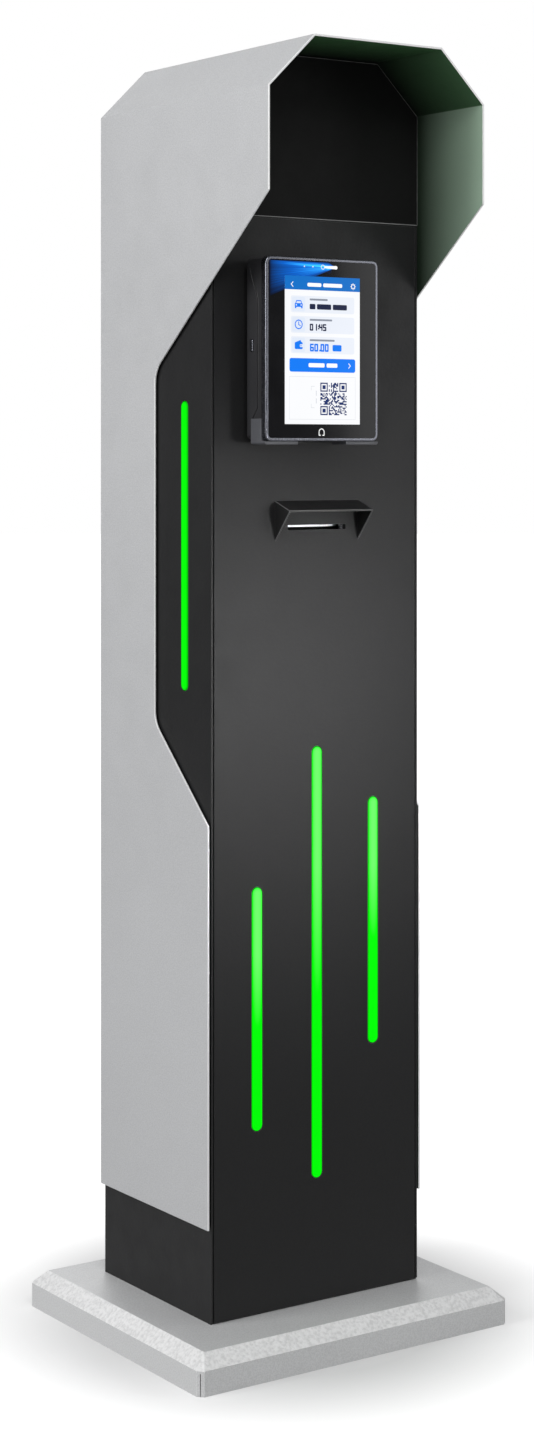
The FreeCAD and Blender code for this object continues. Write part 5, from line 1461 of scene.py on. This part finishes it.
    def code(self, left: float, top: float, face: float) -> bpy.types.Object:
        """A block pattern that only looks like a code, with three finder squares.

        Args:
            left: Image's left edge.
            top: Image's top edge.
            face: Depth of the glass.

        Returns:
            The finished piece.
        """
        tree = PointTree("block_pattern_tree", Ink.NAVY.value)
        tree.number("Cell", 0.001)
        tree.number("Share", 0.5)
        tree.whole("Seed", 7)
        cell = tree.add("GeometryNodeMeshGrid")
        cell.inputs["Vertices X"].default_value = 2
        cell.inputs["Vertices Y"].default_value = 2
        tree.link(tree.entry, "Cell", cell, "Size X")
        tree.link(tree.entry, "Cell", cell, "Size Y")
        chance = tree.add("FunctionNodeRandomValue", data_type="BOOLEAN")
        tree.link(tree.entry, "Share", chance, "Probability")
        tree.link(tree.entry, "Seed", chance, "Seed")
        spread = tree.add("GeometryNodeInstanceOnPoints")
        spread.inputs["Rotation"].default_value = (math.pi / 2, 0.0, 0.0)
        tree.link(tree.entry, 0, spread, "Points")
        tree.link(chance, "Value", spread, "Selection")
        tree.link(cell, "Mesh", spread, "Instance")
        tree.finish_with(spread, "Instances")
        step = self.code_side / self.code_cells
        places = []
        finders = [(0, 0), (self.code_cells - 7, 0), (0, self.code_cells - 7)]
        for row in range(self.code_cells):
            for column in range(self.code_cells):
                if any(x - 1 <= column <= x + 7 and y - 1 <= row <= y + 7 for x, y in finders):
                    continue
                across = self.code_left + (column + 0.5) * step
                down = self.code_top + (row + 0.5) * step
                places.append(Vector((left + across * MM, face - 0.00005, top - down * MM)))
        base = points_mesh("block_pattern_base", places)
        pattern = tree.bake("block_pattern", base, {"Cell": step * MM, "Share": 0.52, "Seed": 7}, "column",
                            "lit_display")
        self.finder_squares(left, top, face, step, finders)
        return pattern

    def finder_squares(self, left: float, top: float, face: float, step: float,
                       finders: Sequence[tuple[int, int]]) -> bpy.types.Object:
        """Three framed squares at the corners of the pattern.

        Args:
            left: Left edge of the page, in metres.
            top: Top edge of the page, in metres.
            face: Depth of the glass, in metres.
            step: Side of one cell, in millimetres.
            finders: Column and row where each square starts.

        Returns:
            The finished object.
        """
        painter = ScreenPainter(left, top, face)
        for column, row in finders:
            start_x = self.code_left + column * step
            start_y = self.code_top + row * step
            for inset, ink, layer in ((0, Ink.NAVY, 1), (1, Ink.PAGE, 2), (2, Ink.NAVY, 3)):
                near = inset * step
                far = (7 - inset) * step
                painter.shape([(start_x + near, start_y + near), (start_x + far, start_y + near),
                               (start_x + far, start_y + far), (start_x + near, start_y + far)], ink, layer)
        return painter.finish("block_pattern_corners", "column", "lit_display")

    def light_fan(self, left: float, top: float, face: float) -> bpy.types.Object:
        """The status light and its rays to the upper left of the glass.

        Args:
            left: Image's left edge.
            top: Image's top edge.
            face: Depth of the glass.

        Returns:
            The finished piece.
        """
        apex = Vector((73.0, -11.4))
        glass_low, glass_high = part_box("terminal_glass")
        limit_left = (glass_low.x - left) / MM + 1.2
        limit_top = -(glass_high.z - top) / MM + 1.2
        work = bmesh.new()
        glow_layer = work.verts.layers.float.new("glow")
        rays, rings = 72, 26
        shine = random.Random(5)
        strengths = [0.55 + 0.45 * shine.random() for _ in range(rays + 1)]
        grid = []
        for ray in range(rays + 1):
            share = ray / rays
            turn = math.radians(151 + share * 50)
            way = Vector((math.cos(turn), -math.sin(turn)))
            to_left = (limit_left - apex.x) / way.x
            to_top = (limit_top - apex.y) / way.y if way.y < -1e-6 else 1e9
            reach = min(to_left, to_top)
            line = []
            for ring in range(rings + 1):
                along = ring / rings
                spot = apex + way * reach * along
                edge = math.sin(math.pi * min(1.0, max(0.0, share))) ** 0.6
                fade = (1 - along) ** 0.55 * 0.75 + 0.25 * (1 - along)
                glow = edge * fade * (strengths[ray] if along > 0.12 else 1.0)
                vertex = work.verts.new((left + spot.x * MM, face - 0.00002, top - spot.y * MM))
                vertex[glow_layer] = max(0.0, min(1.0, glow))
                line.append(vertex)
            grid.append(line)
        for first, second in zip(grid, grid[1:]):
            for ring in range(rings):
                corners = [first[ring], first[ring + 1], second[ring + 1], second[ring]]
                spots = [corner.co for corner in corners]
                if (spots[0] - spots[3]).length < 1e-7:
                    corners = corners[:3]
                face_made = work.faces.new(corners)
                face_made.normal_update()
                if face_made.normal.y > 0:
                    face_made.normal_flip()
        bmesh.ops.remove_doubles(work, verts=work.verts, dist=1e-7)
        mesh = bpy.data.meshes.new("status_light_fan")
        work.to_mesh(mesh)
        work.free()
        fan = LightFan("status_rays", (0.0, 0.15, 0.75), (0.05, 0.6, 1.0), 2.4)
        piece = link_piece("status_light_fan", mesh, [fan], "column")
        spot = ScreenPainter(left, top, face)
        spot.disc(apex.x, apex.y, 2.1, Ink.WHITE, 2)
        spot.shape([(56.0, -12.6), (apex.x, -13.4), (apex.x, -9.4), (56.0, -10.4)], Ink.WHITE, 1)
        spot.finish("status_light", "column", "lit_display")
        return piece


# ---------------------------------------------------------------- fixings and service side


@dataclass
class ServiceSide:
    """Screws and louvres of the rear."""

    edge: float = 0.012

    def build(self) -> list[bpy.types.Object]:
        """Builds the rear fixings.

        Returns:
            The finished pieces.
        """
        low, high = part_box("rear_upper_panel")
        back = high.y
        heights = [low.z + 0.014, (low.z + high.z) / 2 - 0.03]
        places = [Vector((side, back, height)) for side in (low.x + self.edge, high.x - self.edge)
                  for height in heights]
        places += [Vector((side, back, high.z - 0.014)) for side in (-0.07, 0.07)]
        screws = ButtonScrews("rear_panel_screws", places, Vector((0, 1, 0)), "column")
        leaf_screws = ButtonScrews("hinge_leaf_screws", self.leaf_places(), Vector((0, 1, 0)), "service_door",
                                   radius=0.0022, rise=0.0012)
        door_low, door_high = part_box("rear_door")
        middle = (door_low.x + door_high.x) / 2
        lowest = Vector((middle, door_high.y, 0.2))
        louvres = PressedLouvres("door_louvres", lowest, 0.15, 8, 0.017, "service_door")
        return [screws.build(), leaf_screws.build(), louvres.build()]

    def leaf_places(self) -> list[Vector]:
        """Two screws in each moving hinge leaf."""
        low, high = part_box("hinge_door_leaves")
        _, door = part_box("rear_door")
        vertices = frame["nodes"]["hinge_door_leaves"].data.vertices
        heights = sorted({round(vertex.co.z, 4) for vertex in vertices})
        starts = [heights[0]]
        starts += [above for below, above in zip(heights, heights[1:]) if above - below > 0.1]
        across, back = high.x - 0.008, door.y + 0.002
        return [Vector((across, back, start + rise)) for start in starts for rise in (0.012, 0.048)]


@dataclass
class Studio:
    """Pale floor, soft lights and the camera."""

    eye: tuple[float, float, float] = (-1.7987, -2.6353, 1.0566)
    heading: float = -34.33
    lens: float = 65.65
    drop: float = -0.1844

    def build(self) -> None:
        """Builds the stage."""
        self.floor()
        self.world()
        self.softbox("key", (-2.4, -2.8, 2.4), (0, 0, 1.1), 1.6, 26.0)
        self.softbox("side", (-3.6, 0.3, 2.2), (0, 0, 1.25), 1.8, 84.0)
        self.softbox("fill", (2.6, -2.4, 1.4), (0, 0, 0.9), 1.6, 16.0)
        self.softbox("top", (-0.8, -2.2, 3.0), (0, -0.3, 0.0), 1.2, 32.0)
        self.softbox("face", (0.5, -2.0, 0.75), (0, -0.1, 0.75), 0.3, 0.55, 24.0)
        self.softbox("back", (1.4, 3.2, 2.4), (0, 0, 0.9), 2.4, 30.0)
        self.camera()

    def floor(self) -> None:
        """A wide pale disc."""
        mesh = bpy.data.meshes.new("floor")
        work = bmesh.new()
        bmesh.ops.create_circle(work, cap_ends=True, segments=96, radius=30.0)
        work.to_mesh(mesh)
        work.free()
        shader = Shader("pale_floor")
        cloud = shader.noise(1.5, 3.0)
        tint = shader.ramp(cloud, "Fac", (0.55, 0.55, 0.55), (0.6, 0.6, 0.6))
        shader.link(tint, "Color", shader.surface, "Base Color")
        away = shader.add("ShaderNodeVectorMath", operation="LENGTH")
        shader.link(shader.place(), "Object", away, "Vector")
        glow = shader.spread(away, "Value", 0.15, 1.0, 0.22, 0.5)
        seen = shader.add("ShaderNodeLightPath")
        power = shader.add("ShaderNodeMath", operation="MULTIPLY")
        shader.link(glow, "Result", power, 0)
        shader.link(seen, "Is Camera Ray", power, 1)
        shader.link(power, 0, shader.surface, "Emission Strength")
        shader.set(Roughness=0.8, Emission_Color=(1.0, 1.0, 1.0, 1.0), Specular_IOR_Level=0.1)
        mesh.materials.append(shader.material)
        floor = bpy.data.objects.new("floor", mesh)
        bpy.context.scene.collection.objects.link(floor)

    def world(self) -> None:
        """White surroundings, dimmer for what they light."""
        world = bpy.data.worlds.new("studio")
        bpy.context.scene.world = world
        world.use_nodes = True
        nodes = world.node_tree.nodes
        links = world.node_tree.links
        nodes.clear()
        output = nodes.new("ShaderNodeOutputWorld")
        seen = nodes.new("ShaderNodeBackground")
        seen.inputs["Color"].default_value = (1.0, 1.0, 1.0, 1.0)
        seen.inputs["Strength"].default_value = 1.0
        lit = nodes.new("ShaderNodeBackground")
        lit.inputs["Color"].default_value = (0.97, 0.98, 1.0, 1.0)
        lit.inputs["Strength"].default_value = 0.2
        path = nodes.new("ShaderNodeLightPath")
        mix = nodes.new("ShaderNodeMixShader")
        links.new(path.outputs["Is Camera Ray"], mix.inputs[0])
        links.new(lit.outputs[0], mix.inputs[1])
        links.new(seen.outputs[0], mix.inputs[2])
        links.new(mix.outputs[0], output.inputs["Surface"])

    def softbox(self, name: str, place: Sequence[float], target: Sequence[float], side: float,
                power: float, spread: float = 180.0) -> None:
        """One square area light.

        Args:
            name: Its name.
            place: Where it stands.
            target: What it faces.
            side: Its width.
            power: Watts.
            spread: Angle of the beam in degrees.
        """
        light = bpy.data.lights.new(name, "AREA")
        light.spread = math.radians(spread)
        light.shape = "SQUARE"
        light.size = side
        light.energy = power
        holder = bpy.data.objects.new(name, light)
        holder.location = place
        holder.rotation_euler = (Vector(target) - Vector(place)).to_track_quat("-Z", "Y").to_euler()
        bpy.context.scene.collection.objects.link(holder)

    def camera(self) -> None:
        """A level camera at the front left with a small drop for framing."""
        data = bpy.data.cameras.new("camera")
        data.sensor_fit = "AUTO"
        data.sensor_width = 36.0
        data.lens = self.lens
        data.shift_y = self.drop
        data.clip_end = 100.0
        holder = bpy.data.objects.new("camera", data)
        holder.location = self.eye
        holder.rotation_euler = (math.radians(90), 0.0, math.radians(self.heading))
        bpy.context.scene.collection.objects.link(holder)
        bpy.context.scene.camera = holder


SOFT_PARTS: tuple[SoftEdged, ...] = (
    SoftEdged("shell", 0.0007),
    SoftEdged("plinth_cover", 0.0016, PLINTH_PAINTED_LIGHT),
    SoftEdged("column_body", 0.0008),
    SoftEdged("front_panel", 0.0009),
    # darker black as painted shade under the hood
    SoftEdged("upper_panel", 0.0009, BLACK_PAINTED_SHADE),
    SoftEdged("rear_upper_panel", 0.0006),
    SoftEdged("receipt_hood", 0.0006),
    SoftEdged("rear_door", 0.0006),
    SoftEdged("terminal_cradle", 0.0012),
    SoftEdged("terminal_bumpers", 0.0006),
    SoftEdged("terminal_housing", 0.0012),
    SoftEdged("printer_lid", 0.0006),
    SoftEdged("printer_chassis", 0.0004),
    SoftEdged("power_supply", 0.0004),
    SoftEdged("breaker", 0.0006),
    SoftEdged("equipment_tray", 0.0004),
)


def main() -> None:
    """Builds the looks in order: parts, lights, screen, rear, studio."""
    logging.basicConfig(level=logging.INFO, format="%(name)s %(message)s")
    bpy.context.scene.view_settings.view_transform = "Standard"
    hidden = {"front_lights", "side_lights"}
    for part in SOFT_PARTS:
        part.build()
        hidden.add(part.node)
    LightStrips().build()
    dress_frame(hidden)
    TerminalScreen().build()
    ServiceSide().build()
    Studio().build()


if __name__ == "__main__":
    main()
